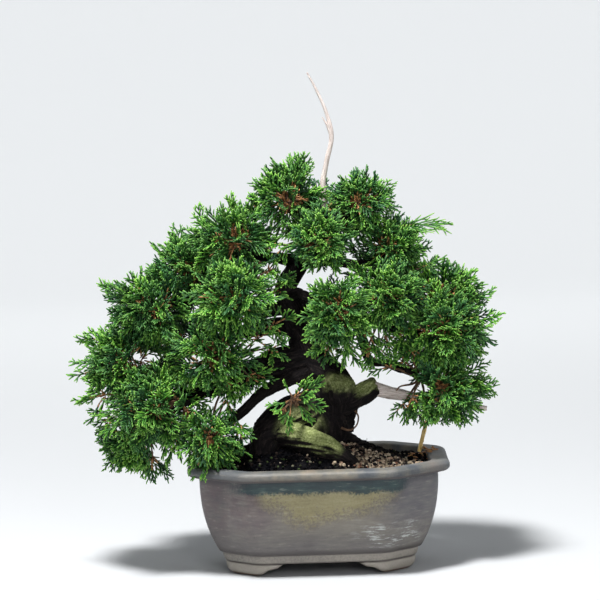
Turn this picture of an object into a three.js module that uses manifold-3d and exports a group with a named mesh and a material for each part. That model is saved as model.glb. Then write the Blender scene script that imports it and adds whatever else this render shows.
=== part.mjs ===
// A small juniper bonsai in a glazed, eight-sided pot with a rim, a foot band and four bracket feet.
// Millimetres, +Z up, the front faces -Y. Places are given from the middle of the pot, at the height
// its feet stand on. The whole group is then moved so that the middle of its own bounds is at X 0, Y 0.

import * as THREE from 'three';
import { mergeVertices } from 'three/addons/utils/BufferGeometryUtils.js';
import Module from 'manifold-3d';

const wasm = await Module();
wasm.setup();

// Clearance between pieces that touch.
const GAP = 0.3;

// Pot: a rectangle with cut corners, its wall swelling from a foot band up to an overhanging rim.
const RIM_LENGTH = 164;
const RIM_DEPTH = 124;
const FRONT_FACE = 95;
const END_FACE = 64;
const CORNER_ROUND = 14;
const POT_HEIGHT = 69;
const RIM_BAND = 6.6;
const RIM_OVERHANG = 7.3;
const WALL = 5.5;
const BELLY_TUCK = 11.5;
const FOOT_HEIGHT = 8;
const FOOT_BAND = 5.5;
const FOOT_BAND_STEP = 1.6;
const FOOT_THICKNESS = 10;
const FLOOR = 6;
const FRONT_ARCH = 82;
const END_ARCH = 46;
const ARCH_SLOPE = 15;
const DRAIN_RADIUS = 7;
const DRAIN_SPACING = 56;

// Drain covers: a square of plastic mesh over each hole, held by a bent wire.
const MESH_BARS = 4;
const MESH_THICKNESS = 1;
const MESH_BAR = 1.4;
const WIRE_RADIUS = 0.6;

// Fill: coarse drainage grit, then soil that rises in a mound under the trunk, then a grit dressing.
const DRAINAGE_DEPTH = 8;
const SOIL_BELOW_RIM = 4;
const MOUND_HEIGHT = 19;
const MOUND = new THREE.Vector2(-7, 2);
const MOUND_LENGTH = 136;
const MOUND_DEPTH = 108;
const DRESSING = { x: 38, y: -27, length: 64, depth: 30, thickness: 2.4 };
const TRUNK_BURY = 9;

const material = (color, roughness) => new THREE.MeshStandardMaterial({ color, roughness, metalness: 0 });
const GLAZE = material('#77736b', 0.45);
const PLASTIC = material('#1c1d1b', 0.6);
const WIRE = new THREE.MeshStandardMaterial({ color: '#9a9b98', roughness: 0.4, metalness: 1 });
const PUMICE = material('#a89a80', 0.9);
const SOIL = material('#2c2620', 0.95);
const GRIT = material('#a08f74', 0.9);
const BARK = material('#3f3226', 0.9);
const DEADWOOD = material('#c9bcb2', 0.8);
const SPLINT = material('#d8b05a', 0.6);
const FOLIAGE = material('#2f7a2c', 0.7);

// ---------------------------------------------------------------- solids

// A closed geometry as a solid: shared vertices merged, and faces that have collapsed left out.
function toSolid(geometry) {
  const bare = geometry.clone();
  bare.deleteAttribute('normal');
  bare.deleteAttribute('uv');
  const merged = mergeVertices(bare, 1e-4);
  const kept = [];
  for (let i = 0; i < merged.index.count; i += 3) {
    const [a, b, c] = [0, 1, 2].map((k) => merged.index.getX(i + k));
    if (a !== b && b !== c && c !== a) kept.push(a, b, c);
  }
  const vertProperties = new Float32Array(merged.attributes.position.array);
  return new wasm.Manifold(new wasm.Mesh({ numProp: 3, vertProperties, triVerts: new Uint32Array(kept) }));
}

function toGeometry(solid) {
  const { vertProperties, triVerts } = solid.getMesh();
  const geometry = new THREE.BufferGeometry();
  geometry.setAttribute('position', new THREE.BufferAttribute(vertProperties, 3));
  geometry.setIndex(new THREE.BufferAttribute(triVerts, 1));
  geometry.computeVertexNormals();
  return geometry;
}

const join = (solids) => solids.reduce((all, one) => all.add(one));

// The largest of the bodies that a cut leaves.
const largest = (solid) => solid.decompose().reduce((a, b) => (a.volume() > b.volume() ? a : b));

// Moves every vertex of a geometry by a rule.
function reshape(geometry, rule) {
  const position = geometry.attributes.position;
  const point = new THREE.Vector3();
  for (let i = 0; i < position.count; i += 1) {
    point.fromBufferAttribute(position, i);
    rule(point, i);
    position.setXYZ(i, point.x, point.y, point.z);
  }
  return geometry;
}

const bonsai = new THREE.Group();

function piece(name, solid, look) {
  const mesh = new THREE.Mesh(toGeometry(solid), look);
  mesh.name = name;
  bonsai.add(mesh);
}

// ---------------------------------------------------------------- pot

const OUTLINE_POINTS = 24;

// The pot's plan, moved inwards from the rim's edge, with each of its eight corners rounded.
function potOutline(inset) {
  const halfLength = RIM_LENGTH / 2;
  const halfDepth = RIM_DEPTH / 2;
  const frontTurn = Math.atan2(halfDepth - END_FACE / 2, halfLength - FRONT_FACE / 2);
  const frontHalf = FRONT_FACE / 2 - inset * Math.tan(frontTurn / 2);
  const endHalf = END_FACE / 2 - inset * Math.tan((Math.PI / 2 - frontTurn) / 2);
  const quarter = [
    new THREE.Vector2(halfLength - inset, endHalf),
    new THREE.Vector2(frontHalf, halfDepth - inset),
  ];
  const corners = [
    ...quarter,
    ...quarter.map((p) => new THREE.Vector2(-p.x, p.y)).reverse(),
    ...quarter.map((p) => new THREE.Vector2(-p.x, -p.y)),
    ...quarter.map((p) => new THREE.Vector2(p.x, -p.y)).reverse(),
  ];
  return corners.flatMap((corner, i) => {
    const before = corners[(i + 7) % 8].clone().sub(corner).normalize();
    const after = corners[(i + 1) % 8].clone().sub(corner).normalize();
    const half = Math.acos(THREE.MathUtils.clamp(before.dot(after), -1, 1)) / 2;
    const reach = CORNER_ROUND / Math.tan(half);
    const start = corner.clone().addScaledVector(before, reach);
    const end = corner.clone().addScaledVector(after, reach);
    return [start, new THREE.QuadraticBezierCurve(start, corner, end).getPoint(0.5), end];
  });
}

// A lathe turned on the pot's plan in place of a circle. Each profile point has an inset and a height,
// or stands on the axis. `share` draws a ring in from its outline towards the axis.
function potLathe(profile, heightAt = null) {
  const lathe = new THREE.LatheGeometry(
    profile.map((p) => new THREE.Vector2(1, p.z)),
    OUTLINE_POINTS,
  );
  const outlines = profile.map((p) => potOutline(p.inset ?? 0));
  return reshape(lathe, (point, i) => {
    const ring = i % profile.length;
    const station = Math.floor(i / profile.length) % OUTLINE_POINTS;
    const flat = outlines[ring][station].clone().multiplyScalar(profile[ring].share ?? 1);
    const z = profile[ring].raised && heightAt ? heightAt(flat.x, flat.y) : profile[ring].z;
    point.set(flat.x, flat.y, z);
  });
}

const FOOT_BAND_TOP = FOOT_HEIGHT + FOOT_BAND;
const RIM_UNDERSIDE = POT_HEIGHT - RIM_BAND;
const FLOOR_TOP = FOOT_HEIGHT + FLOOR;
const soilEdge = POT_HEIGHT - SOIL_BELOW_RIM;

// How far the body's outside stands in from the rim's edge: little at the top, more towards the foot.
function bodyInset(z) {
  const down = THREE.MathUtils.clamp((RIM_UNDERSIDE - z) / (RIM_UNDERSIDE - FOOT_BAND_TOP), 0, 1);
  return RIM_OVERHANG + BELLY_TUCK * down ** 2.5;
}

const innerInset = (z) => bodyInset(z) + WALL;
const bellyHeights = [0, 0.12, 0.27, 0.46, 0.7, 1].map((t) =>
  THREE.MathUtils.lerp(FOOT_BAND_TOP + 1, RIM_UNDERSIDE, t),
);
const innerHeights = bellyHeights.slice(1, -1);
const footInset = bodyInset(FOOT_BAND_TOP) + FOOT_BAND_STEP;
const RIM_EASE = 1.2;

const potBody = toSolid(potLathe([
  { share: 0, z: FOOT_HEIGHT },
  { inset: footInset + FOOT_BAND_STEP, z: FOOT_HEIGHT },
  { inset: footInset, z: FOOT_BAND_TOP - 1 },
  { inset: footInset, z: FOOT_BAND_TOP },
  ...bellyHeights.map((z) => ({ inset: bodyInset(z), z })),
  { inset: 0, z: RIM_UNDERSIDE },
  { inset: 0, z: POT_HEIGHT - RIM_EASE },
  { inset: RIM_EASE, z: POT_HEIGHT },
  { inset: innerInset(RIM_UNDERSIDE), z: POT_HEIGHT },
  ...innerHeights.toReversed().map((z) => ({ inset: innerInset(z), z })),
  { inset: innerInset(FLOOR_TOP), z: FLOOR_TOP },
  { share: 0, z: FLOOR_TOP },
  { share: 0, z: FOOT_HEIGHT },
]));

const footTopInset = footInset + FOOT_BAND_STEP;
const footRing = toSolid(potLathe([
  { inset: footTopInset + FOOT_THICKNESS, z: FOOT_HEIGHT + 1 },
  { inset: footTopInset + FOOT_THICKNESS, z: 0 },
  { inset: footTopInset + 3, z: 0 },
  { inset: footTopInset + 0.6, z: 2.4 },
  { inset: footTopInset + 0.6, z: FOOT_HEIGHT + 1 },
  { inset: footTopInset + FOOT_THICKNESS, z: FOOT_HEIGHT + 1 },
]));

// The open arch between two feet: its sides rise in a small double curve.
function arch(width, run) {
  const shape = new THREE.Shape();
  const half = width / 2;
  shape.moveTo(-half, -1);
  shape.lineTo(half, -1);
  shape.lineTo(half, 0);
  shape.quadraticCurveTo(half - ARCH_SLOPE * 0.4, FOOT_HEIGHT * 0.15, half - ARCH_SLOPE * 0.6, FOOT_HEIGHT * 0.5);
  shape.quadraticCurveTo(half - ARCH_SLOPE, FOOT_HEIGHT * 0.55, half - ARCH_SLOPE, FOOT_HEIGHT);
  shape.lineTo(-half + ARCH_SLOPE, FOOT_HEIGHT);
  shape.quadraticCurveTo(-half + ARCH_SLOPE, FOOT_HEIGHT * 0.55, -half + ARCH_SLOPE * 0.6, FOOT_HEIGHT * 0.5);
  shape.quadraticCurveTo(-half + ARCH_SLOPE * 0.4, FOOT_HEIGHT * 0.15, -half, 0);
  shape.closePath();
  const geometry = new THREE.ExtrudeGeometry(shape, { depth: run, bevelEnabled: false, curveSegments: 3 });
  return geometry.translate(0, 0, -run / 2).rotateX(Math.PI / 2);
}

const drains = [-1, 1].map((side) => side * DRAIN_SPACING / 2);
const drainHole = (x) =>
  new THREE.CylinderGeometry(DRAIN_RADIUS, DRAIN_RADIUS, 3 * FLOOR, 20)
    .rotateX(Math.PI / 2)
    .translate(x, 0, FOOT_HEIGHT + FLOOR / 2);

const feet = footRing
  .subtract(toSolid(arch(FRONT_ARCH, 2 * RIM_DEPTH)))
  .subtract(toSolid(arch(END_ARCH, 2 * RIM_LENGTH).rotateZ(Math.PI / 2)));
const pot = drains.reduce((body, x) => body.subtract(toSolid(drainHole(x))), potBody.add(feet));
piece('pot', pot, GLAZE);

// ---------------------------------------------------------------- drain covers

const meshBottom = FLOOR_TOP + GAP;
const meshTop = meshBottom + MESH_THICKNESS;

// Each leg of the wire goes down beside the hole's wall, just outside one of the mesh's two middle bars.
const wireLeg = DRAIN_RADIUS - WIRE_RADIUS - 3 * GAP;
const meshPitch = 2 * (wireLeg - WIRE_RADIUS - GAP) - MESH_BAR;
const meshSide = (MESH_BARS - 1) * meshPitch + MESH_BAR;

// A wire staple: across the top of the mesh, down through it and the hole, and out along the underside.
const wireFoot = FOOT_HEIGHT - GAP - WIRE_RADIUS;
const wireTop = meshTop + GAP + WIRE_RADIUS;

function staple(x, grow = 0) {
  const reach = DRAIN_RADIUS + 5;
  const side = (s) => [
    new THREE.Vector3(x + s * (wireLeg - 1.5 * WIRE_RADIUS), 0, wireTop),
    new THREE.Vector3(x + s * wireLeg, 0, meshTop),
    new THREE.Vector3(x + s * wireLeg, 0, FLOOR_TOP),
    new THREE.Vector3(x + s * wireLeg, 0, wireFoot + 1.5),
    new THREE.Vector3(x + s * (wireLeg + 1.5), 0, wireFoot),
    new THREE.Vector3(x + s * reach, 0, wireFoot),
  ];
  const path = new THREE.CatmullRomCurve3(
    [...side(-1).reverse(), new THREE.Vector3(x, 0, wireTop), ...side(1)],
    false,
    'catmullrom',
    0.3,
  );
  return tube(path, () => WIRE_RADIUS + grow, { sides: 5, steps: 18 });
}

// A round tube of changing width along a path, closed at both ends. The cylinder's rows of vertices
// are laid on the path's own frames.
function tube(path, radiusAt, { sides = 8, steps = 12, rough = 0, seed = 0 } = {}) {
  const cylinder = new THREE.CylinderGeometry(1, 1, 1, sides, steps).translate(0, 0.5, 0);
  const frames = path.computeFrenetFrames(steps, false);
  return toSolid(reshape(cylinder, (point) => {
    const row = Math.round(point.y * steps);
    const along = row / steps;
    const angle = Math.atan2(point.z, point.x);
    const onRim = Math.hypot(point.x, point.z);
    const lump = 1 + rough * Math.sin(3 * angle + seed + 9 * along) * Math.sin(17 * along + seed);
    const width = onRim * radiusAt(along) * lump;
    point.copy(path.getPointAt(along))
      .addScaledVector(frames.normals[row], Math.cos(angle) * width)
      .addScaledVector(frames.binormals[row], -Math.sin(angle) * width);
  }));
}

// Bars crossing at a right angle, as a moulded mesh is.
function meshSheet(x) {
  const lines = Array.from({ length: MESH_BARS }, (_, i) => (i - (MESH_BARS - 1) / 2) * meshPitch);
  const z = meshBottom + MESH_THICKNESS / 2;
  return join(lines.flatMap((at) => [
    toSolid(new THREE.BoxGeometry(MESH_BAR, meshSide, MESH_THICKNESS).translate(x + at, 0, z)),
    toSolid(new THREE.BoxGeometry(meshSide, MESH_BAR, MESH_THICKNESS).translate(x, at, z)),
  ]));
}

for (const [i, side] of ['left', 'right'].entries()) {
  piece(`drain_mesh_${side}`, meshSheet(drains[i]), PLASTIC);
  piece(`mesh_wire_${side}`, staple(drains[i]), WIRE);
}

// Room that the covers take out of the fill above them.
const roomSide = meshSide + 2 * GAP;
const roomHeight = wireTop + WIRE_RADIUS + GAP - FLOOR_TOP;
const coverRoom = join(drains.map((x) => toSolid(
  new THREE.BoxGeometry(roomSide, roomSide, 2 * roomHeight).translate(x, 0, FLOOR_TOP),
)));

// ---------------------------------------------------------------- trunk and deadwood

// The tree's points: their heights are measured from the soil's level at the wall.
const point = ([x, y, z]) => new THREE.Vector3(x, y, soilEdge + z);
const curve = (points) => new THREE.CatmullRomCurve3(points.map(point), false, 'centripetal');

// Reads a list of radii spread evenly along a path.
const radii = (list) => (t) => {
  const at = t * (list.length - 1);
  const i = Math.min(Math.floor(at), list.length - 2);
  return THREE.MathUtils.lerp(list[i], list[i + 1], at - i);
};

// One or more limbs grown together, optionally with their skins moved out by `grow`.
function wood(limbs, grow = 0) {
  return join(limbs.map(({ route, width, sides = 7, steps = 8, rough = 0.1, seed = 0 }) => {
    const at = radii(width);
    return tube(curve(route), (t) => at(t) + grow, { sides, steps, rough, seed });
  }));
}

const TRUNK = [
  {
    route: [
      [-3, 2, -TRUNK_BURY], [1, 1, 18], [8, 0, 36], [6, 0, 51], [-4, 2, 66], [-8, 4, 82],
      [-13, 5, 98], [-17, 4, 111], [-9, 5, 125], [0, 7, 138], [7, 6, 150], [7, 5, 161],
    ],
    width: [24, 19, 18, 17, 13.5, 10.5, 8, 7, 6, 5.5, 4.5, 3.4],
    sides: 9,
    steps: 16,
    rough: 0.12,
    seed: 1,
  },
  { route: [[0, -4, 34], [-16, -8, 30], [-28, -12, 22], [-34, -14, 6]], width: [13, 13, 11, 9], steps: 6, seed: 2 },
  { route: [[-26, -10, 22], [-16, -19, 20], [-4, -25, 16], [9, -29, 11], [19, -32, 5], [27, -33, -2]], width: [8, 9, 8.5, 7, 5, 3], seed: 3 },
  { route: [[10, 2, 14], [24, 2, 8], [36, 4, 2], [46, 6, -5]], width: [10, 7, 5, 3], steps: 6, seed: 4 },
  { route: [[4, 6, 27], [2, 22, 19], [-4, 34, 11], [-6, 42, -1]], width: [12, 9, 6, 3], steps: 6, seed: 5 },
  { route: [[4, 2, 36], [16, -9, 39], [27, -9, 43], [38, -8, 48]], width: [11, 8.5, 6.6, 5.8], steps: 6, seed: 6 },
];

const BURL = { at: [13, -11, 47], size: [11, 10, 10.5] };

function burl(grow) {
  return toSolid(new THREE.IcosahedronGeometry(1, 2)
    .scale(...BURL.size.map((s) => s + grow))
    .translate(...point(BURL.at)));
}

const trunkSolid = (grow = 0) => wood(TRUNK, grow).add(burl(grow));
const trunk = trunkSolid();
piece('trunk', trunk, BARK);

// What stands already, with the clearance that later pieces keep to it.
let standing = trunkSolid(GAP);

function grow(name, limbs, look) {
  piece(name, largest(wood(limbs).subtract(standing)), look);
  standing = standing.add(wood(limbs, GAP));
}

grow('deadwood_apex', [
  {
    route: [
      [7, 5, 157], [8, 5, 169], [8, 5, 178], [11, 5, 191], [14, 5, 203], [13, 5, 215], [7, 5, 232], [0, 5, 246],
    ],
    width: [2.4, 2, 1.6, 1.5, 1.5, 1.1, 0.9, 0.5],
    sides: 6,
    steps: 14,
  },
  { route: [[13.6, 5, 207], [11, 5, 214], [8.6, 5, 218]], width: [1, 0.7, 0.4], sides: 5, steps: 3 },
], DEADWOOD);

grow('deadwood_right', [
  { route: [[36, -8, 47], [54, -8, 43], [78, -8, 38], [107, -8, 32.5]], width: [4.3, 3.2, 2, 1.5], steps: 8 },
], DEADWOOD);

// ---------------------------------------------------------------- fill

// The soil lies level at the wall and rises in a smooth mound under the trunk.
function soilTop(x, y) {
  const across = (x - MOUND.x) / (MOUND_LENGTH / 2);
  const deep = (y - MOUND.y) / (MOUND_DEPTH / 2);
  return soilEdge + MOUND_HEIGHT * Math.max(0, 1 - across ** 2 - deep ** 2) ** 1.5;
}

const drainageTop = FLOOR_TOP + GAP + DRAINAGE_DEPTH;
const fillInset = (z) => innerInset(z) + GAP;

const drainage = toSolid(potLathe([
  { share: 0, z: FLOOR_TOP + GAP },
  { inset: fillInset(FLOOR_TOP), z: FLOOR_TOP + GAP },
  { inset: fillInset(FLOOR_TOP), z: drainageTop },
  { share: 0, z: drainageTop },
])).subtract(coverRoom);
piece('drainage_layer', drainage, PUMICE);

const SOIL_RINGS = [1, 0.8, 0.6, 0.4, 0.2, 0];

function soilSolid(lift = 0) {
  const wallHeights = bellyHeights.filter((z) => z > drainageTop + 2 && z < soilEdge - 4);
  const bottom = drainageTop + GAP;
  return toSolid(potLathe([
    { share: 0, z: bottom },
    { inset: fillInset(bottom), z: bottom },
    ...wallHeights.map((z) => ({ inset: fillInset(z), z })),
    ...SOIL_RINGS.map((share) => ({ inset: fillInset(soilEdge), share, z: soilEdge, raised: true })),
  ], (x, y) => soilTop(x, y) + lift));
}

const soil = soilSolid();
piece('soil_bed', largest(soil.subtract(trunkSolid(GAP))), SOIL);

// A thin lens of grit on the soil at the front right.
const dressing = toSolid(reshape(
  new THREE.SphereGeometry(1, 14, 4).rotateX(Math.PI / 2),
  (p) => {
    const x = DRESSING.x + p.x * DRESSING.length / 2;
    const y = DRESSING.y + p.y * DRESSING.depth / 2;
    p.set(x, y, soilTop(x, y) + p.z * DRESSING.thickness);
  },
));
const insideWall = toSolid(potLathe([
  { share: 0, z: soilEdge - WALL },
  { inset: fillInset(soilEdge) + GAP, z: soilEdge - WALL },
  { inset: fillInset(soilEdge) + GAP, z: 2 * POT_HEIGHT },
  { share: 0, z: 2 * POT_HEIGHT },
]));
const dressingSolid = dressing.intersect(insideWall).subtract(soilSolid(GAP)).subtract(trunkSolid(GAP));
piece('grit_dressing', largest(dressingSolid), GRIT);

// ---------------------------------------------------------------- branches

grow('branch_left_low', [
  {
    route: [
      [-4, 1, 65], [-20, -4, 65], [-33, -7, 62], [-46, -8, 55], [-62, -6, 51], [-84, -6, 47], [-108, -2, 41],
    ],
    width: [10, 9, 7, 5.4, 4.4, 3.4, 2],
    steps: 10,
    seed: 7,
  },
  { route: [[-58, -6, 51], [-76, -14, 45], [-96, -22, 35]], width: [3.4, 2.6, 1.6], sides: 5, steps: 3 },
  { route: [[-44, -8, 56], [-52, -14, 65], [-62, -20, 75]], width: [3.4, 2.6, 1.8], sides: 5, steps: 3 },
], BARK);

grow('branch_left_under', [
  {
    route: [[-4, -5, 59], [-20, -13, 54], [-34, -18, 47], [-46, -20, 37], [-58, -21, 28], [-68, -26, 23]],
    width: [5.5, 4.4, 3.6, 3, 2.4, 1.8],
    steps: 10,
    seed: 8,
  },
], BARK);

grow('branch_left_mid', [
  {
    route: [[-13, 5, 99], [-30, 6, 97], [-50, 4, 99], [-74, 4, 105], [-100, 0, 101]],
    width: [5, 4.4, 3.6, 3, 2],
    seed: 9,
  },
  { route: [[-42, 5, 98], [-46, -10, 103], [-50, -26, 109]], width: [3, 2.4, 1.6], sides: 5, steps: 3 },
  { route: [[-64, 4, 103], [-72, 6, 111], [-80, 6, 119]], width: [2.6, 2.2, 1.6], sides: 5, steps: 3 },
], BARK);

grow('branch_left_high', [
  { route: [[-8, 5, 126], [-20, 2, 130], [-34, -4, 133], [-50, -7, 140]], width: [4, 3.4, 2.8, 2], steps: 8, seed: 10 },
], BARK);

grow('branch_right_high', [
  {
    route: [[-7, 5, 127], [10, 9, 127.5], [28, 11, 124], [42, 11, 127], [56, 8, 134]],
    width: [3.8, 3.2, 2.8, 2.4, 1.8],
    seed: 11,
  },
], BARK);

grow('branch_right_mid', [
  {
    route: [[-12, 6, 101], [6, 10, 104], [22, 8, 103], [44, 2, 97], [66, -4, 91], [84, -10, 87]],
    width: [5, 4.2, 3.8, 3.2, 2.6, 1.8],
    steps: 9,
    seed: 12,
  },
  { route: [[54, -1, 94], [70, 4, 99], [88, 6, 106]], width: [2.8, 2.2, 1.6], sides: 5, steps: 3 },
  { route: [[34, 5, 100], [40, -10, 102], [45, -24, 104]], width: [2.8, 2.2, 1.6], sides: 5, steps: 3 },
], BARK);

grow('branch_right_low', [
  {
    route: [
      [20, 8, 103], [26, 3, 92], [30, -4, 77], [34, -8, 65], [44, -10, 63], [58, -11, 58], [76, -12, 47],
    ],
    width: [3.4, 3.2, 3, 2.8, 2.6, 2.2, 1.6],
    steps: 10,
    seed: 13,
  },
], BARK);

grow('branch_front', [
  { route: [[-14, 4, 107], [-8, -14, 109], [2, -30, 105], [14, -44, 98]], width: [3.6, 3, 2.4, 1.6], steps: 8, seed: 14 },
], BARK);

grow('branch_front_low', [
  { route: [[-6, -12, 43], [-9, -24, 41], [-12, -34, 43], [-16, -42, 49]], width: [2, 1.5, 1.2, 0.9], sides: 6, steps: 6 },
], BARK);

grow('branch_back_left', [
  { route: [[-6, 4, 85], [-24, 22, 85], [-50, 38, 79], [-90, 46, 69]], width: [6, 5, 3.6, 2], steps: 10, seed: 15 },
  { route: [[-34, 29, 84], [-44, 42, 97], [-54, 48, 115]], width: [3.2, 2.6, 1.8], sides: 5, steps: 3 },
], BARK);

grow('branch_back_right', [
  { route: [[-12, 6, 97], [8, 26, 93], [36, 38, 85], [80, 42, 71]], width: [5.4, 4.6, 3.4, 2], steps: 10, seed: 16 },
  { route: [[22, 33, 90], [38, 42, 101], [56, 46, 115]], width: [3.2, 2.6, 1.8], sides: 5, steps: 3 },
], BARK);

grow('branch_crown_back', [
  { route: [[-2, 7, 136], [2, 22, 141], [6, 42, 149]], width: [3.4, 2.8, 1.8], steps: 6, seed: 17 },
], BARK);

grow('branch_crown_left', [
  { route: [[4, 6, 147], [-4, 1, 156], [-12, -5, 165]], width: [2.8, 2.4, 1.6], sides: 6, steps: 5 },
], BARK);

grow('branch_crown_right', [
  { route: [[6, 6, 148], [18, 5, 153], [30, 4, 160]], width: [2.8, 2.4, 1.6], sides: 6, steps: 5 },
], BARK);

// ---------------------------------------------------------------- stake

// A split bamboo peg pushed into the soil at the right, leaning into the foliage above it.
const STAKE = { foot: [65, 20, 2], head: [71.5, 20, 26], width: 2.6, thickness: 1.6 };

function stakeSolid(extra = 0) {
  const [foot, head] = [point(STAKE.foot), point(STAKE.head)];
  const rod = new THREE.BoxGeometry(STAKE.width + extra, STAKE.thickness + extra, foot.distanceTo(head) + extra);
  const turn = new THREE.Quaternion().setFromUnitVectors(
    new THREE.Vector3(0, 0, 1),
    head.clone().sub(foot).normalize(),
  );
  return toSolid(rod.applyQuaternion(turn).translate(...foot.add(head).multiplyScalar(0.5)));
}

// ---------------------------------------------------------------- foliage

// Each cloud of foliage: the middle of it and its half-sizes.
const CLOUDS = [
  ['apex_left', [-13, -4, 166], [21, 22, 23]],
  ['apex_right', [31, 4, 162], [18, 20, 19]],
  ['crown_front', [6, -28, 141], [24, 18, 17]],
  ['upper_left', [-49, -8, 142], [29, 24, 21]],
  ['left_shoulder', [-80, 6, 120], [27, 24, 20]],
  ['left_tier', [-102, -2, 100], [31, 26, 23]],
  ['centre_left', [-50, -30, 108], [29, 22, 22]],
  ['left_outer', [-118, 2, 66], [27, 28, 25]],
  ['left_front', [-99, -22, 38], [39, 26, 27]],
  ['droop_outer', [-112, -2, 19], [22, 24, 22]],
  ['droop_inner', [-68, -34, 21], [18, 20, 22]],
  ['left_inner', [-64, -22, 71], [32, 24, 25]],
  ['front_centre', [14, -46, 98], [23, 18, 25]],
  ['front_low', [-16, -44, 50], [16, 12, 16]],
  ['right_upper', [48, 8, 134], [18, 24, 18]],
  ['right_shoulder', [82, 6, 101], [29, 25, 18]],
  ['right_mid', [81, -14, 83], [32, 24, 21]],
  ['right_centre', [46, -24, 105], [23, 20, 20]],
  ['right_low', [79, -12, 45], [32, 24, 25]],
  ['back_crown', [7, 42, 149], [32, 24, 22]],
  ['back_left_high', [-54, 46, 119], [36, 26, 24]],
  ['back_left_low', [-90, 44, 69], [36, 28, 28]],
  ['back_right_high', [56, 44, 117], [33, 26, 24]],
  ['back_right_low', [80, 40, 69], [31, 28, 28]],
];
const CLOUD_FACETS = 2;
const LUMPS = 0.1;
const UNDERSIDE = 0.85;

// A lumpy ellipsoid, a little flatter underneath than on top.
function cloud([, at, size], extra = 0) {
  const seed = at[0] + 2 * at[1] + 3 * at[2];
  const middle = point(at);
  const ball = new THREE.IcosahedronGeometry(1, CLOUD_FACETS);
  const half = new THREE.Vector3(...size).addScalar(extra);
  return toSolid(reshape(ball, (p) => {
    const lump = 1 + LUMPS * Math.sin(4 * p.x + seed) * Math.sin(5 * p.y + seed) * Math.sin(3 * p.z + seed);
    const flatter = p.z < 0 ? UNDERSIDE : 1;
    p.multiply(half).multiplyScalar(lump);
    p.z *= flatter;
    p.add(middle);
  }));
}

// Foliage keeps clear of the whole pot, not only of its wall.
const potKeepOut = toSolid(potLathe([
  { share: 0, z: 0 },
  { inset: -GAP, z: 0 },
  { inset: -GAP, z: POT_HEIGHT + GAP },
  { share: 0, z: POT_HEIGHT + GAP },
]));

standing = standing.add(stakeSolid(2 * GAP));
piece('stake', stakeSolid(), SPLINT);
standing = standing.add(potKeepOut).add(soilSolid(GAP));
for (const part of CLOUDS) {
  piece(`foliage_${part[0]}`, largest(cloud(part).subtract(standing)), FOLIAGE);
  standing = standing.add(cloud(part, GAP));
}

// ---------------------------------------------------------------- frame

const bounds = new THREE.Box3().setFromObject(bonsai);
const centre = bounds.getCenter(new THREE.Vector3());
bonsai.position.set(-centre.x, -centre.y, -bounds.min.z);

export default bonsai;
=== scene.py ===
"""A small juniper bonsai in a glazed eight-sided pot: its looks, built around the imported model."""

import math

import bpy
import numpy as np
from mathutils import Matrix, Vector, noise


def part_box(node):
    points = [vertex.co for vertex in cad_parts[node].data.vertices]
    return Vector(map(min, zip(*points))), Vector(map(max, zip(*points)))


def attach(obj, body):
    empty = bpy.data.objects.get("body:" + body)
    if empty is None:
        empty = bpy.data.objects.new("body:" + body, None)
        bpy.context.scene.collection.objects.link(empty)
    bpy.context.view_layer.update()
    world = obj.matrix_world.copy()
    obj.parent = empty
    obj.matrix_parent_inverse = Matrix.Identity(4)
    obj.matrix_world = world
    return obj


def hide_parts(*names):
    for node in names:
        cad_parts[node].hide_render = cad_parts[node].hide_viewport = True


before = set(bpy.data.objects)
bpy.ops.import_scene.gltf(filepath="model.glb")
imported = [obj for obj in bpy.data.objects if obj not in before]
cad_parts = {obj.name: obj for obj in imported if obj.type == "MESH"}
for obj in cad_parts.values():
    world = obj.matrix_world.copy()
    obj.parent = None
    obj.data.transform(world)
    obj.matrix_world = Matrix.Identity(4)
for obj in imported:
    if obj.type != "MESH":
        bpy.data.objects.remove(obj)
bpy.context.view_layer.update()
scene = bpy.context.scene


# ---------------------------------------------------------------- camera, floor and light
# The pot stands on a plain pale floor that sweeps up all round into a bowl. The camera stands well
# back with a long lens, a little above the rim, and is tipped over by a degree or two.

pot_low, pot_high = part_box("pot")
POT_MIDDLE = np.array([(pot_low.x + pot_high.x) / 2, (pot_low.y + pot_high.y) / 2, 0.0])
MM = 0.001


def place(points):
    """Millimetres from the middle of the pot, at the level its feet stand on, as metres in the frame."""
    return np.asarray(points, float) * MM + POT_MIDDLE


def turned(yaw, pitch, roll):
    """The right, up and forward directions of a camera that looks along +Y before it is turned."""
    flat = math.cos(pitch)
    forward = np.array([-math.sin(yaw) * flat, math.cos(yaw) * flat, -math.sin(pitch)])
    right = np.array([math.cos(yaw), math.sin(yaw), 0.0])
    up = np.cross(right, forward)
    c, s = math.cos(roll), math.sin(roll)
    return right * c + up * s, up * c - right * s, forward


CAMERA_AWAY, CAMERA_HEIGHT = 1860.0, 357.2
CAMERA_ROUND, CAMERA_ASIDE, CAMERA_DOWN, CAMERA_TIP = map(math.radians, (-0.5, 0.26, 5.79, -1.65))
FIELD = 0.2019
standpoint = place(
    [math.sin(CAMERA_ROUND) * CAMERA_AWAY, -math.cos(CAMERA_ROUND) * CAMERA_AWAY, CAMERA_HEIGHT]
)
right, up, forward = turned(CAMERA_ROUND + CAMERA_ASIDE, CAMERA_DOWN, CAMERA_TIP)
camera_data = bpy.data.cameras.new("camera")
camera_data.lens = camera_data.sensor_width / FIELD
camera_data.clip_end = 20.0
camera = bpy.data.objects.new("camera", camera_data)
camera.matrix_world = Matrix.Translation(standpoint) @ Matrix((right, up, -forward)).transposed().to_4x4()
scene.collection.objects.link(camera)
scene.camera = camera
scene.view_settings.view_transform = "Standard"


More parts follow.
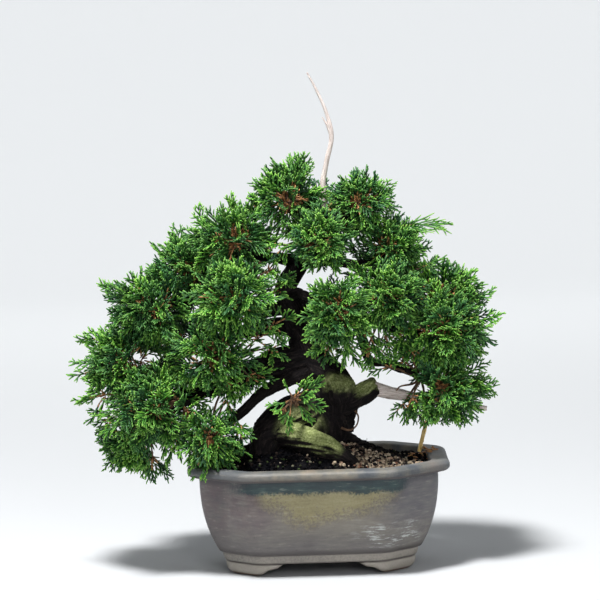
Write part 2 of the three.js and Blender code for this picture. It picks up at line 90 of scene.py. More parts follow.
class Value:
    """A number, colour or vector in a material. Arithmetic on a number adds the Math nodes for it."""

    def __init__(self, finish, socket):
        self.finish, self.socket = finish, socket

    def maths(self, operation, *others):
        terms = dict(enumerate(others))
        return self.finish.node("ShaderNodeMath", {"operation": operation}, terms)

    def __add__(self, other):
        return self.maths("ADD", self, other)

    def __sub__(self, other):
        return self.maths("SUBTRACT", self, other)

    def __rsub__(self, other):
        return self.maths("SUBTRACT", other, self)

    def __mul__(self, other):
        return self.maths("MULTIPLY", self, other)

    def __truediv__(self, other):
        return self.maths("DIVIDE", self, other)

    __radd__ = __add__
    __rmul__ = __mul__

    def step(self, low, high):
        """0 below low, 1 above high, smooth between; the other way round where low is above high."""
        settings = {"interpolation_type": "SMOOTHSTEP"}
        return self.finish.node("ShaderNodeMapRange", settings, {0: self, 1: low, 2: high})

    def band(self, low, full, fading, high):
        """1 between full and fading, going to 0 at low and at high."""
        return self.step(low, full) * self.step(high, fading)


class Finish:
    """A material: one Principled shader and the nodes that feed it."""

    def __init__(self, name, **constants):
        self.material = bpy.data.materials.new(name)
        self.material.use_nodes = True
        self.tree = self.material.node_tree
        self.shader = self.tree.nodes["Principled BSDF"]
        for socket, value in constants.items():
            self.shader.inputs[socket.replace("_", " ")].default_value = value

    def node(self, kind, settings=None, inputs=None, output=0):
        """Adds a node: its settings first, then the values or links of its sockets."""
        made = self.tree.nodes.new(kind)
        for key, value in (settings or {}).items():
            if key == "stops":
                self.ramp(made.color_ramp, value)
            else:
                setattr(made, key, value)
        for key, value in (inputs or {}).items():
            if isinstance(value, Value):
                self.tree.links.new(value.socket, made.inputs[key])
            else:
                made.inputs[key].default_value = value
        return Value(self, made.outputs[output])

    @staticmethod
    def ramp(ramp, stops):
        while len(ramp.elements) < len(stops):
            ramp.elements.new(1.0)
        for element, (position, colour) in zip(ramp.elements, stops):
            element.position = position
            element.color = (*colour, 1.0)

    def feed(self, socket, value):
        self.tree.links.new(value.socket, self.shader.inputs[socket])

    def here(self, origin=(0.0, 0.0, 0.0), scale=(1.0, 1.0, 1.0)):
        """The point being shaded, from an origin in metres, with its axes scaled."""
        point = self.node("ShaderNodeTexCoord", output=3)
        moved = self.node("ShaderNodeVectorMath", {"operation": "SUBTRACT"}, {0: point, 1: tuple(origin)})
        return self.stretched(moved, scale)

    def stretched(self, vector, scale):
        return self.node("ShaderNodeVectorMath", {"operation": "MULTIPLY"}, {0: vector, 1: tuple(scale)})

    def part(self, vector, axis):
        return self.node("ShaderNodeSeparateXYZ", inputs={0: vector}, output="XYZ".index(axis))

    def own(self, axis):
        """What a repeated shape carries in its own map: X runs along the shape, Y is its tint."""
        return self.part(self.node("ShaderNodeUVMap", {"uv_map": "OFBake"}), axis)

    def noise(self, vector, scale, detail=3.0, roughness=0.5):
        inputs = {"Vector": vector, "Scale": scale, "Detail": detail, "Roughness": roughness}
        return self.node("ShaderNodeTexNoise", inputs=inputs)

    def colours(self, factor, stops):
        return self.node("ShaderNodeValToRGB", {"stops": stops}, {0: factor})

    def mix(self, factor, a, b):
        """Colour a where the factor is 0, b where it is 1."""
        a, b = [c if isinstance(c, Value) else (*c, 1.0) for c in (a, b)]
        return self.node("ShaderNodeMix", {"data_type": "RGBA"}, {0: factor, 6: a, 7: b}, 2)

    def bump(self, height, depth):
        """Relief of a height that runs from 0 to 1, `depth` metres deep."""
        inputs = {"Strength": 1.0, "Distance": depth, "Height": height}
        self.feed("Normal", self.node("ShaderNodeBump", inputs=inputs))


def new_piece(name, vertices, faces, finish, slot, replaces=(), smooth=True):
    """A mesh in the frame, riding on the one body that there is."""
    mesh = bpy.data.meshes.new(name)
    mesh.from_pydata([tuple(v) for v in vertices], [], faces)
    mesh.polygons.foreach_set("use_smooth", [smooth] * len(mesh.polygons))
    mesh.materials.append(finish.material)
    made = bpy.data.objects.new(name, mesh)
    scene.collection.objects.link(made)
    if slot:
        settle(made, replaces)
    return made


def settle(made, replaces=()):
    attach(made, "root")
    if replaces:
        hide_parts(*replaces)


studio = Finish("studio_paper", Roughness=0.9, Specular_IOR_Level=0.2, Emission_Strength=1.0)
behind = studio.part(studio.here(), "Y").step(0.10, 1.60)
studio.feed("Base Color", studio.mix(behind, (0.44, 0.45, 0.46), (0.41, 0.42, 0.425)))
studio.feed("Emission Color", studio.mix(behind, (0.0, 0.0, 0.0), (0.430, 0.440, 0.450)))
BOWL_RADIUS, BOWL_ROUND, BOWL_TOP, BOWL_SIDES, BOWL_STEPS = 2.6, 0.8, 3.4, 72, 12
bowl = [(0.4, 0.0), (1.0, 0.0)]
for i in range(BOWL_STEPS + 1):
    bend = math.pi / 2 * i / BOWL_STEPS
    out = BOWL_RADIUS - BOWL_ROUND * (1 - math.sin(bend))
    bowl.append((out, BOWL_ROUND * (1 - math.cos(bend))))
bowl.append((BOWL_RADIUS, BOWL_TOP))
round_ = np.arange(BOWL_SIDES) * 2 * math.pi / BOWL_SIDES
bowl_points = [(r * math.cos(a), r * math.sin(a), h) for r, h in bowl for a in round_]
bowl_faces = [tuple(range(BOWL_SIDES))]
for k in range(len(bowl) - 1):
    for i in range(BOWL_SIDES):
        j = (i + 1) % BOWL_SIDES
        low, high = k * BOWL_SIDES, (k + 1) * BOWL_SIDES
        bowl_faces.append((low + i, high + i, high + j, low + j))
new_piece("studio_floor", bowl_points, bowl_faces, studio, None)

world = bpy.data.worlds.new("studio_air")
world.use_nodes = True
air = world.node_tree.nodes["Background"].inputs
air["Color"].default_value = (0.95, 0.97, 1.0, 1.0)
air["Strength"].default_value = 0.30
scene.world = world


def soft_light(name, at, towards, size, power):
    data = bpy.data.lights.new(name, "AREA")
    data.shape = "DISK"
    data.size = size
    data.energy = power
    lamp = bpy.data.objects.new(name, data)
    lamp.location = at
    lamp.rotation_euler = (Vector(towards) - Vector(at)).to_track_quat("-Z", "Y").to_euler()
    scene.collection.objects.link(lamp)


soft_light("top_light", (-0.25, -0.55, 1.7), (0.0, 0.0, 0.15), 0.36, 66.0)
soft_light("front_light", (0.5, -2.2, 0.9), (0.0, 0.0, 0.12), 0.8, 14.0)


# ---------------------------------------------------------------- pot
# One piece of stoneware, thrown in a mould with eight sides and cut corners, with a rolled rim,
# a foot band and four bracket feet. The ash glaze breaks from grey-brown to olive and teal.

RIM_LENGTH, RIM_DEPTH, POT_HEIGHT = [(b - a) / MM for a, b in zip(pot_low, pot_high)]
FRONT_FACE = 95.0
END_FACE = 64.0
CORNER_ROUND = 14.0
RIM_BAND = 6.6
RIM_OVERHANG = 7.3
WALL = 5.5
BELLY_TUCK = 11.5
FOOT_HEIGHT = 8.0
FOOT_BAND = 5.5
FOOT_BAND_STEP = 1.6
FLOOR_THICKNESS = 6.0
FOOT_BAND_TOP = FOOT_HEIGHT + FOOT_BAND
RIM_UNDERSIDE = POT_HEIGHT - RIM_BAND
FLOOR_TOP = FOOT_HEIGHT + FLOOR_THICKNESS
CORNER_STEPS = 7
FACE_STEPS = 12


def curve(start, corner, end, steps):
    """Points that round a corner, in even steps from start to end."""
    shares = [k / steps for k in range(steps + 1)]
    return [start * (1 - t) ** 2 + corner * 2 * t * (1 - t) + end * t**2 for t in shares]


def pot_outline(inset):
    """The pot's plan, in from the rim's edge: eight faces with rounded corners, in millimetres."""
    half_length, half_depth = RIM_LENGTH / 2, RIM_DEPTH / 2
    front_turn = math.atan2(half_depth - END_FACE / 2, half_length - FRONT_FACE / 2)
    front_half = FRONT_FACE / 2 - inset * math.tan(front_turn / 2)
    end_half = END_FACE / 2 - inset * math.tan((math.pi / 2 - front_turn) / 2)
    a = np.array([half_length - inset, end_half])
    b = np.array([front_half, half_depth - inset])
    corners = [a, b, b * (-1, 1), a * (-1, 1), -a, -b, b * (1, -1), a * (1, -1)]
    bends = []
    for before, corner, after in zip(corners[-1:] + corners, corners, corners[1:] + corners[:1]):
        before, after = before - corner, after - corner
        room = 0.48 * min(np.linalg.norm(before), np.linalg.norm(after))
        before, after = before / np.linalg.norm(before), after / np.linalg.norm(after)
        half = math.acos(np.clip(before @ after, -1, 1)) / 2
        reach = min(CORNER_ROUND / math.tan(half), room)
        bends.append((corner + before * reach, corner, corner + after * reach))
    points = []
    for bend, following in zip(bends, bends[1:] + bends[:1]):
        points += curve(*bend, CORNER_STEPS - 1)
        face = following[0] - bend[-1]
        points += [bend[-1] + face * k / FACE_STEPS for k in range(1, FACE_STEPS)]
    return np.array(points)


OUTLINE_COUNT = len(pot_outline(0.0))


def body_inset(z):
    down = np.clip((RIM_UNDERSIDE - z) / (RIM_UNDERSIDE - FOOT_BAND_TOP), 0, 1)
    return RIM_OVERHANG + BELLY_TUCK * down**2.5


def eased(points, radius, steps=4):
    """A profile with each inner corner rounded."""
    made = [points[0]]
    for before, corner, after in zip(points, points[1:], points[2:]):
        before, corner, after = map(np.array, (before, corner, after))
        reach = [min(radius, 0.45 * np.linalg.norm(p - corner)) for p in (before, after)]
        start = corner + (before - corner) / np.linalg.norm(before - corner) * reach[0]
        end = corner + (after - corner) / np.linalg.norm(after - corner) * reach[1]
        made += [tuple(point) for point in curve(start, corner, end, steps)]
    return made + [points[-1]]


def ring_faces(rings, count, closed=False):
    """Faces between rings of points; closed joins the last ring to the first."""
    faces = []
    for r in range(rings if closed else rings - 1):
        for i in range(count):
            j = (i + 1) % count
            below, above = r * count, (r + 1) % rings * count
            faces.append((below + i, below + j, above + j, above + i))
    return faces


def capped(rings, count):
    """Faces between rings of points, and over both ends."""
    caps = [tuple(range(count - 1, -1, -1)), tuple(range((rings - 1) * count, rings * count))]
    return ring_faces(rings, count) + caps


def applied(made, modifier):
    """Gives an object the mesh that its modifier leaves, without the modifier."""
    bpy.context.view_layer.update()
    seen = made.evaluated_get(bpy.context.evaluated_depsgraph_get())
    mesh = bpy.data.meshes.new_from_object(seen)
    made.modifiers.remove(modifier)
    made.data = mesh
    return mesh


foot_inset = body_inset(FOOT_BAND_TOP) + FOOT_BAND_STEP
belly = [(body_inset(z), z) for z in np.linspace(FOOT_BAND_TOP + 0.6, RIM_UNDERSIDE - 0.4, 16)]
inside = [(body_inset(z) + WALL, z) for z in np.linspace(RIM_UNDERSIDE, FLOOR_TOP, 12)]
profile = eased(
    [
        (foot_inset + 8, FOOT_HEIGHT),
        (foot_inset + 1.4, FOOT_HEIGHT),
        (foot_inset, FOOT_BAND_TOP - 1.4),
        (foot_inset + 0.2, FOOT_BAND_TOP),
        (belly[0][0] + 0.9, FOOT_BAND_TOP + 0.3),
        *belly,
        (2.2, RIM_UNDERSIDE - 0.1),
        (0.0, RIM_UNDERSIDE + 1.6),
        (0.0, POT_HEIGHT - 1.6),
        (2.6, POT_HEIGHT),
        (inside[0][0] - 1.4, POT_HEIGHT - 0.4),
        *inside,
        (inside[-1][0] + 10, FLOOR_TOP),
    ],
    1.3,
)
pot_points = []
for inset, z in profile:
    for x, y in pot_outline(inset):
        wobble = 0.25 * noise.noise(Vector((x * 0.03, y * 0.03, z * 0.05)))
        pot_points.append((x * (1 + wobble / 80), y * (1 + wobble / 60), z + 0.4 * wobble))
pot_faces = ring_faces(len(profile), OUTLINE_COUNT)


def close_floor(z, base, flip):
    """Rings that draw a floor in to its middle, from the ring of points that starts at `base`."""
    edge = np.array(pot_points[base : base + OUTLINE_COUNT])
    for share in (0.8, 0.55, 0.3):
        start = len(pot_points)
        pot_points.extend((x * share, y * share, z) for x, y, _ in edge)
        for i in range(OUTLINE_COUNT):
            j = (i + 1) % OUTLINE_COUNT
            face = (base + i, base + j, start + j, start + i)
            pot_faces.append(face[::-1] if flip else face)
        base = start
    middle = len(pot_points)
    pot_points.append((0.0, 0.0, z))
    for i in range(OUTLINE_COUNT):
        face = (base + i, base + (i + 1) % OUTLINE_COUNT, middle)
        pot_faces.append(face[::-1] if flip else face)


close_floor(FOOT_HEIGHT, 0, True)
close_floor(FLOOR_TOP, (len(profile) - 1) * OUTLINE_COUNT, False)

# The feet stand under the cut corners. Between them the ring rises in a bracket curve to the floor.
FRONT_ARCH, END_ARCH, ARCH_SLOPE = 82.0, 46.0, 15.0
FOOT_THICKNESS = 10.0
foot_top = foot_inset + FOOT_BAND_STEP


def foot_lift(x, y):
    """How far the underside of the foot ring is off the ground at a point of the plan."""
    along = []
    for place_on, half in ((abs(x), FRONT_ARCH / 2), (abs(y), END_ARCH / 2)):
        inner = np.clip((half - place_on) / ARCH_SLOPE, 0, 1)
        along.append(FOOT_HEIGHT * (0.58 * np.clip(inner / 0.62, 0, 1) ** 1.7 + 0.47 * (inner > 0.93)))
    return max(along)


foot_profile = eased(
    [(foot_top + 4, 1.05), (foot_top + 0.5, 1.05), (foot_top + 0.4, 0.35), (foot_top + 2.8, 0.0),
     (foot_top + FOOT_THICKNESS, 0.0), (foot_top + FOOT_THICKNESS, 1.05), (foot_top + 4, 1.05)],
    1.6, 3,
)[:-1]
foot_start = len(pot_points)
for inset, share in foot_profile:
    for x, y in pot_outline(inset):
        low = foot_lift(x, y)
        z = low + (FOOT_HEIGHT - low) * share if share <= 1 else FOOT_HEIGHT + 0.5
        pot_points.append((x, y, z))
foot_faces = ring_faces(len(foot_profile), OUTLINE_COUNT, True)
pot_faces.extend(tuple(foot_start + v for v in face[::-1]) for face in foot_faces)

# The glaze, from the body's mottled grey outwards to the colours that lie over it, with a few dark
# bands of painted shade: down the left corner, under the rim and round the foot. Places are in metres
# from the pot's middle, and `ragged` frays their edges.
glaze = Finish("ash_glaze", IOR=1.5, Coat_Roughness=0.3)
spot = glaze.here(POT_MIDDLE)
x, y, z = [glaze.part(spot, axis) for axis in "XYZ"]
cloudy = glaze.noise(spot, 26.0, 4.0, 0.6)
blotches = glaze.noise(glaze.here((0.3, 0.1, 0.2)), 60.0, 5.0, 0.7)
fine = glaze.noise(spot, 700.0, 3.0, 0.7)
brushed = glaze.noise(glaze.here(POT_MIDDLE, (0.16, 0.16, 1.0)), 620.0, 4.0, 0.65)
scratched = glaze.noise(glaze.here(POT_MIDDLE, (0.13, 0.13, 1.0)), 900.0, 4.0, 0.7)
front = y.step(-0.020, -0.036)
ragged = (cloudy - 0.5) * 0.030 + (fine - 0.5) * 0.020 + (blotches - 0.5) * 0.020
body = glaze.colours(
    cloudy * 0.55 + brushed * 0.45,
    [(0.34, (0.050, 0.043, 0.045)), (0.43, (0.100, 0.086, 0.087)), (0.51, (0.140, 0.124, 0.120)),
     (0.58, (0.185, 0.170, 0.148)), (0.68, (0.255, 0.236, 0.200))],
)
bluish = x.step(0.010, 0.060) * z.step(0.020, 0.045)
body = glaze.mix(bluish * 0.55, body, (0.078, 0.080, 0.098))
under_olive = z.band(0.018, 0.032, 0.040, 0.050) * x.band(-0.040, -0.015, 0.030, 0.052)
body = glaze.mix(under_olive * 0.45, body, (0.215, 0.195, 0.150))
corner_shade = x.band(-0.072, -0.064, -0.061, -0.056) * front
body = glaze.mix(corner_shade * 0.5, body, (0.060, 0.052, 0.056))
plum = x.step(-0.015, -0.050) * z.step(0.012, 0.040) * blotches.step(0.35, 0.6)
body = glaze.mix(plum * 0.65, body, (0.116, 0.080, 0.086))
grey_foot = z.step(0.042, 0.018) * 0.6
body = glaze.mix(grey_foot, body, (0.104, 0.097, 0.092))

along_x = x + ragged
dish = (x - 0.004) / 0.046
over_dish = z - (0.037 + 0.015 * dish * dish + ragged * 1.1)
olive_place = over_dish.step(-0.008, 0.006) * along_x.band(-0.043, -0.032, 0.034, 0.056)
olive_place = olive_place * (z + ragged * 0.3).step(0.0585, 0.0545) * front
olive = glaze.colours(
    cloudy * 0.4 + brushed * 0.3 + fine * 0.3,
    [(0.3, (0.160, 0.134, 0.062)), (0.5, (0.255, 0.225, 0.112)), (0.65, (0.335, 0.300, 0.170))],
)
body = glaze.mix(olive_place * 0.92, body, olive)
halo = over_dish.band(-0.011, -0.002, 0.000, 0.006) * along_x.band(-0.050, -0.038, 0.045, 0.058) * front
body = glaze.mix(halo * fine.step(0.40, 0.62) * 0.45, body, (0.085, 0.060, 0.050))

band_low = 0.0535 + ragged * 0.35
teal_place = (z - band_low).step(-0.0012, 0.0022) * z.step(0.0634, 0.0620)
teal_front = along_x.band(-0.062, -0.042, 0.046, 0.060) * front
teal = glaze.colours(
    brushed * 0.5 + blotches * 0.5,
    [(0.35, (0.007, 0.020, 0.027)), (0.5, (0.014, 0.038, 0.043)), (0.65, (0.045, 0.088, 0.078))],
)
teal_behind = (1 - front) * blotches.step(0.45, 0.6) * 0.8
body = glaze.mix(teal_place * (teal_front + teal_behind) * 0.95, body, teal)
# Painted shadow: the body just under the rim's overhang is darkened, a little less where the teal band runs.
under_rim_shadow = z.band(0.0560, 0.0625, 0.0630, 0.0640)
body = glaze.mix(under_rim_shadow * (1 - teal_front * 0.6) * 0.75, body, (0.035, 0.032, 0.040))

streak_place = x.band(0.014, 0.036, 0.056, 0.066) * z.band(0.016, 0.021, 0.030, 0.036) * front
streaks = streak_place * (scratched + (blotches - 0.5) * 0.5).step(0.53, 0.66)
body = glaze.mix(streaks * 0.85, body, (0.44, 0.46, 0.44))
thin = brushed.step(0.60, 0.70) * 0.25
body = glaze.mix(thin, body, (0.30, 0.29, 0.26))

rim_tone = glaze.colours(
    cloudy * 0.5 + blotches * 0.5,
    [(0.36, (0.035, 0.042, 0.055)), (0.45, (0.070, 0.074, 0.076)), (0.53, (0.130, 0.120, 0.098)),
     (0.60, (0.185, 0.150, 0.115)), (0.68, (0.120, 0.085, 0.065))],
)
rim_end = x.step(0.050, 0.075) + x.step(-0.022, -0.055) * 1.3
rim_tone = glaze.mix(rim_end * 0.6, rim_tone, (0.070, 0.076, 0.086))
rim_tone = glaze.mix(brushed.step(0.54, 0.66) * 0.35, rim_tone, (0.185, 0.175, 0.150))
on_rim = z.step(0.0625, 0.0636)
body = glaze.mix(on_rim, body, rim_tone)
rim_lip = z.band(0.0618, 0.0626, 0.0634, 0.0645)
body = glaze.mix(rim_lip * 0.7, body, (0.050, 0.036, 0.034))
foot_tone = glaze.colours(
    cloudy * 0.5 + fine * 0.5, [(0.35, (0.150, 0.136, 0.120)), (0.6, (0.275, 0.250, 0.215))]
)
body = glaze.mix(z.step(0.0142, 0.0134), body, foot_tone)
body = glaze.mix(z.step(0.0095, 0.0080) * 0.55, body, (0.380, 0.345, 0.295))
# Painted shade: two dark bands, on the underside of the belly just above the foot band and along the bottom
# of the foot band, where the feet begin.
groove_shade = z.band(0.0128, 0.0138, 0.0148, 0.0184) + z.band(0.0068, 0.0078, 0.0084, 0.0094)
body = glaze.mix(groove_shade * 0.75, body, (0.045, 0.037, 0.036))
bare = z.step(0.0022, 0.0008)
body = glaze.mix(bare, body, (0.16, 0.105, 0.075))
speck = fine.step(0.66, 0.72) * 0.55
glaze.feed("Base Color", glaze.mix(speck, body, (0.045, 0.034, 0.030)))
glaze.feed("Roughness", 0.40 + 0.22 * brushed + 0.12 * blotches)
glaze.bump(brushed * 0.45 + fine * 0.25 + blotches * 0.3, 0.0006)
pot = new_piece("stoneware_pot", place(pot_points), pot_faces, glaze, None)

DRAIN_RADIUS, DRAIN_SPACING, DRAIN_SIDES = 7.0, 56.0, 32
for side in (-1, 1):
    angles = np.arange(DRAIN_SIDES) * 2 * math.pi / DRAIN_SIDES
    middle = side * DRAIN_SPACING / 2
    ring = [(middle + DRAIN_RADIUS * math.cos(a), DRAIN_RADIUS * math.sin(a)) for a in angles]
    column = [(px, py, h) for h in (FOOT_HEIGHT - 5, FLOOR_TOP + 5) for px, py in ring]
    cutter = new_piece(f"drain_cutter_{side}", place(column), capped(2, DRAIN_SIDES), glaze, None)
    hole = pot.modifiers.new(f"drain_{side}", "BOOLEAN")
    hole.operation = "DIFFERENCE"
    hole.object = cutter
    hole.solver = "EXACT"
    applied(pot, hole)
    bpy.data.objects.remove(cutter)
settle(pot, ["pot"])


# ---------------------------------------------------------------- trunk and branches
# One old juniper: a short twisted trunk on surface roots, a knobbly burl with a sawn stub, and
# branches that were wired low. The bark is stringy and almost black, and mossy towards the light.

SOIL_EDGE = POT_HEIGHT - 4.0


def lengths(path):
    """How far along a path each of its points lies."""
    return np.concatenate([[0], np.cumsum(np.linalg.norm(np.diff(path, axis=0), axis=1))])


def spread(radii, count):
    """Radii given at even shares of a path, at each of its points."""
    return np.interp(np.linspace(0, 1, count), np.linspace(0, 1, len(radii)), radii)


def smooth_path(points, spacing=1.5):
    """A centripetal curve through points, walked in even steps."""
    points = [np.array(p, float) for p in points]
    points = [2 * points[0] - points[1], *points, 2 * points[-1] - points[-2]]
    walked = []
    for p0, p1, p2, p3 in zip(points, points[1:], points[2:], points[3:]):
        spans = ((p0, p1), (p1, p2), (p2, p3))
        d0, d1, d2 = [max(np.linalg.norm(b - a), 1e-4) ** 0.5 for a, b in spans]
        m1 = ((p1 - p0) / d0 - (p2 - p0) / (d0 + d1) + (p2 - p1) / d1) * d1
        m2 = ((p2 - p1) / d1 - (p3 - p1) / (d1 + d2) + (p3 - p2) / d2) * d1
        for t in np.linspace(0, 1, 24, endpoint=False):
            walked.append(
                (2 * t**3 - 3 * t**2 + 1) * p1 + (t**3 - 2 * t**2 + t) * m1
                + (3 * t**2 - 2 * t**3) * p2 + (t**3 - t**2) * m2
            )
    walked = np.array(walked + [points[-2]])
    gone = lengths(walked)
    steps = np.linspace(0, gone[-1], max(3, int(gone[-1] / spacing) + 1))
    return np.stack([np.interp(steps, gone, walked[:, i]) for i in range(3)], 1)


def tube(path, radii, sides):
    """A closed round tube along a path: its points and faces."""
    count = len(path)
    widths = spread(radii, count)
    ahead = np.gradient(path, axis=0)
    ahead /= np.linalg.norm(ahead, axis=1, keepdims=True)
    side = np.cross(ahead[0], (0.3, 0.5, 0.8))
    points = []
    for k in range(count):
        side = side - ahead[k] * (side @ ahead[k])
        side /= np.linalg.norm(side)
        other = np.cross(ahead[k], side)
        for a in np.arange(sides) * 2 * math.pi / sides:
            points.append(path[k] + widths[k] * (side * math.cos(a) + other * math.sin(a)))
    return np.array(points), capped(count, sides)


def joined(parts):
    """Several pieces' points and faces as one."""
    points, faces, start = [], [], 0
    for some, around in parts:
        points.append(some)
        faces.extend(tuple(start + v for v in face) for face in around)
        start += len(some)
    return np.concatenate(points), faces


def lifted(points):
    """Heights measured from the soil's level at the wall, as heights above the feet."""
    return np.asarray(points, float) + (0.0, 0.0, SOIL_EDGE)


# Each limb is a route (millimetres from the pot's middle, heights from the soil) and its radii.
LIMBS = [
    ([(-3, 2, -9), (1, 1, 18), (8, 0, 36), (6, 0, 51), (-4, 2, 66), (-8, 4, 82), (-13, 5, 98), (-17, 4, 111),
      (-9, 5, 125), (0, 7, 138), (7, 6, 150), (7, 5, 161)],
     (24, 19, 18, 17, 13.5, 10.5, 8, 7, 6, 5.5, 4.5, 3.4)),
    ([(0, -4, 34), (-16, -8, 30), (-28, -12, 22), (-34, -14, 6)], (13, 13, 11, 9)),
    ([(-26, -10, 22), (-16, -19, 20), (-4, -25, 16), (9, -29, 11), (19, -32, 5), (27, -33, -2)],
     (8, 9, 8.5, 7, 5, 3)),
    ([(10, 2, 14), (24, 2, 8), (36, 4, 2), (46, 6, -5)], (10, 7, 5, 3)),
    ([(4, 6, 27), (2, 22, 19), (-4, 34, 11), (-6, 42, -1)], (12, 9, 6, 3)),
    ([(4, 2, 36), (16, -9, 39), (27, -9, 43), (38, -8, 48)], (11, 8.5, 6.6, 5.8)),
    ([(13, -11, 37), (13, -11.5, 42), (13, -11.5, 47), (13, -11, 52), (13, -10, 57)], (4, 10, 11, 10, 4)),
    ([(-4, 1, 65), (-20, -4, 65), (-33, -7, 62), (-46, -8, 55), (-62, -6, 51), (-84, -6, 47), (-108, -2, 41)],
     (10, 9, 7, 5.4, 4.4, 3.4, 2)),
    ([(-58, -6, 51), (-76, -14, 45), (-96, -22, 35)], (3.4, 2.6, 1.6)),
    ([(-44, -8, 56), (-52, -14, 65), (-62, -20, 75)], (3.4, 2.6, 1.8)),
    ([(-4, -5, 59), (-20, -13, 54), (-34, -18, 47), (-46, -20, 37), (-58, -21, 28), (-68, -26, 23)],
     (5.5, 4.4, 3.6, 3, 2.4, 1.8)),
    ([(-13, 5, 99), (-30, 6, 97), (-50, 4, 99), (-74, 4, 105), (-100, 0, 101)], (5, 4.4, 3.6, 3, 2)),
    ([(-42, 5, 98), (-46, -10, 103), (-50, -26, 109)], (3, 2.4, 1.6)),
    ([(-64, 4, 103), (-72, 6, 111), (-80, 6, 119)], (2.6, 2.2, 1.6)),
    ([(-8, 5, 126), (-20, 2, 130), (-34, -4, 133), (-50, -7, 140)], (4, 3.4, 2.8, 2)),
    ([(-7, 5, 127), (10, 9, 127.5), (28, 11, 124), (42, 11, 127), (56, 8, 134)], (3.8, 3.2, 2.8, 2.4, 1.8)),
    ([(-12, 6, 101), (6, 10, 104), (22, 8, 103), (44, 2, 97), (66, -4, 91), (84, -10, 87)],
     (5, 4.2, 3.8, 3.2, 2.6, 1.8)),
    ([(54, -1, 94), (70, 4, 99), (88, 6, 106)], (2.8, 2.2, 1.6)),
    ([(34, 5, 100), (40, -10, 102), (45, -24, 104)], (2.8, 2.2, 1.6)),
    ([(20, 8, 103), (26, 3, 92), (30, -4, 77), (34, -8, 65), (44, -10, 63), (58, -11, 58), (76, -12, 47)],
     (3.4, 3.2, 3, 2.8, 2.6, 2.2, 1.6)),
    ([(-14, 4, 107), (-8, -14, 109), (2, -30, 105), (14, -44, 98)], (3.6, 3, 2.4, 1.6)),
    ([(-6, -12, 43), (-9, -24, 41), (-12, -34, 43), (-16, -42, 49)], (2, 1.5, 1.2, 0.9)),
    ([(-6, 4, 85), (-24, 22, 85), (-50, 38, 79), (-90, 46, 69)], (6, 5, 3.6, 2)),
    ([(-34, 29, 84), (-44, 42, 97), (-54, 48, 115)], (3.2, 2.6, 1.8)),
    ([(-12, 6, 97), (8, 26, 93), (36, 38, 85), (80, 42, 71)], (5.4, 4.6, 3.4, 2)),
    ([(22, 33, 90), (38, 42, 101), (56, 46, 115)], (3.2, 2.6, 1.8)),
    ([(-2, 7, 136), (2, 22, 141), (6, 42, 149)], (3.4, 2.8, 1.8)),
    ([(4, 6, 147), (-4, 1, 156), (-12, -5, 165)], (2.8, 2.4, 1.6)),
    ([(6, 6, 148), (18, 5, 153), (30, 4, 160)], (2.8, 2.4, 1.6)),
]


LIMB_SIDES = 18
AT_ONCE = 20000
TWIST = 34.0
GRAIN_PITCH = 10.0


def grown(name, limbs, voxel, relief, finish):
    """Tubes melted into one skin, with stringy ridges along each limb.

    relief is (depth of the long folds as a share of the radius, depth of the fine strings in mm).
    The points also get a `grain` attribute: around and along the nearest limb, for the material.
    """
    paths = [smooth_path(lifted(route)) for route, _ in limbs]
    tubes = [tube(path, radii, LIMB_SIDES) for path, (_, radii) in zip(paths, limbs)]
    points, faces = joined(tubes)
    made = new_piece(name, place(points), faces, finish, None)
    melt = made.modifiers.new("melt", "REMESH")
    melt.mode = "VOXEL"
    melt.voxel_size = voxel * MM
    melt.use_smooth_shade = True
    skin = applied(made, melt)
    seen, outward = np.empty(len(skin.vertices) * 3), np.empty(len(skin.vertices) * 3)
    skin.vertices.foreach_get("co", seen)
    skin.vertices.foreach_get("normal", outward)
    seen, outward = (seen.reshape(-1, 3) - POT_MIDDLE) / MM, outward.reshape(-1, 3)
    nearest = np.full(len(seen), 1e9)
    grain = np.zeros((len(seen), 3))
    radius = np.zeros(len(seen))
    for i, (path, (_, radii)) in enumerate(zip(paths, limbs)):
        widths = spread(radii, len(path))
        ahead = np.gradient(path, axis=0)
        ahead /= np.linalg.norm(ahead, axis=1, keepdims=True)
        side = np.cross(ahead, (0.3, 0.5, 0.8))
        side /= np.linalg.norm(side, axis=1, keepdims=True)
        gone = lengths(path)
        for first in range(0, len(seen), AT_ONCE):
            some = seen[first : first + AT_ONCE]
            away = np.linalg.norm(some[:, None, :] - path[None], axis=2) - widths[None] * 0.9
            at = away.argmin(1)
            close = away[np.arange(len(some)), at]
            better = close < nearest[first : first + AT_ONCE]
            spoke = some - path[at]
            across = (spoke * side[at]).sum(1)
            deep = (spoke * np.cross(ahead[at], side[at])).sum(1)
            angle = np.arctan2(deep, across) + gone[at] / TWIST
            found = np.stack([np.cos(angle), np.sin(angle), gone[at] / GRAIN_PITCH + 7.3 * i], 1)
            index = np.arange(first, first + len(some))[better]
            nearest[index] = close[better]
            grain[index] = found[better]
            radius[index] = widths[at][better]
    moved = np.zeros(len(seen))
    for v in range(len(seen)):
        c, s, along = grain[v]
        folds = noise.noise(Vector((c * 1.5, s * 1.5, along * 0.22)))
        creases = 1 - 2 * abs(noise.noise(Vector((c * 2.6, s * 2.6, along * 0.3 + 9))))
        strings = noise.noise(Vector((c * radius[v] * 0.9, s * radius[v] * 0.9, along * 0.9)))
        flakes = noise.noise(Vector((c * radius[v] * 0.45, s * radius[v] * 0.45, along * 1.6 + 30)))
        big = min(1.0, radius[v] / 9.0)
        knots = noise.noise(Vector((c * 0.7, s * 0.7, along * 0.9 + 50)))
        thin = relief[0] * 2.2 * min(radius[v], 4.0) * knots * (1 - 0.6 * big)
        moved[v] = relief[0] * radius[v] * (folds + 0.55 * creases * big) + thin
        moved[v] += relief[1] * (strings + 0.8 * flakes)
    skin.vertices.foreach_set("co", place(seen + outward * moved[:, None]).ravel())
    store = skin.attributes.new("grain", "FLOAT_VECTOR", "POINT")
    store.data.foreach_set("vector", grain.ravel())
    skin.update()
    skin.polygons.foreach_set("use_smooth", [True] * len(skin.polygons))
    return made


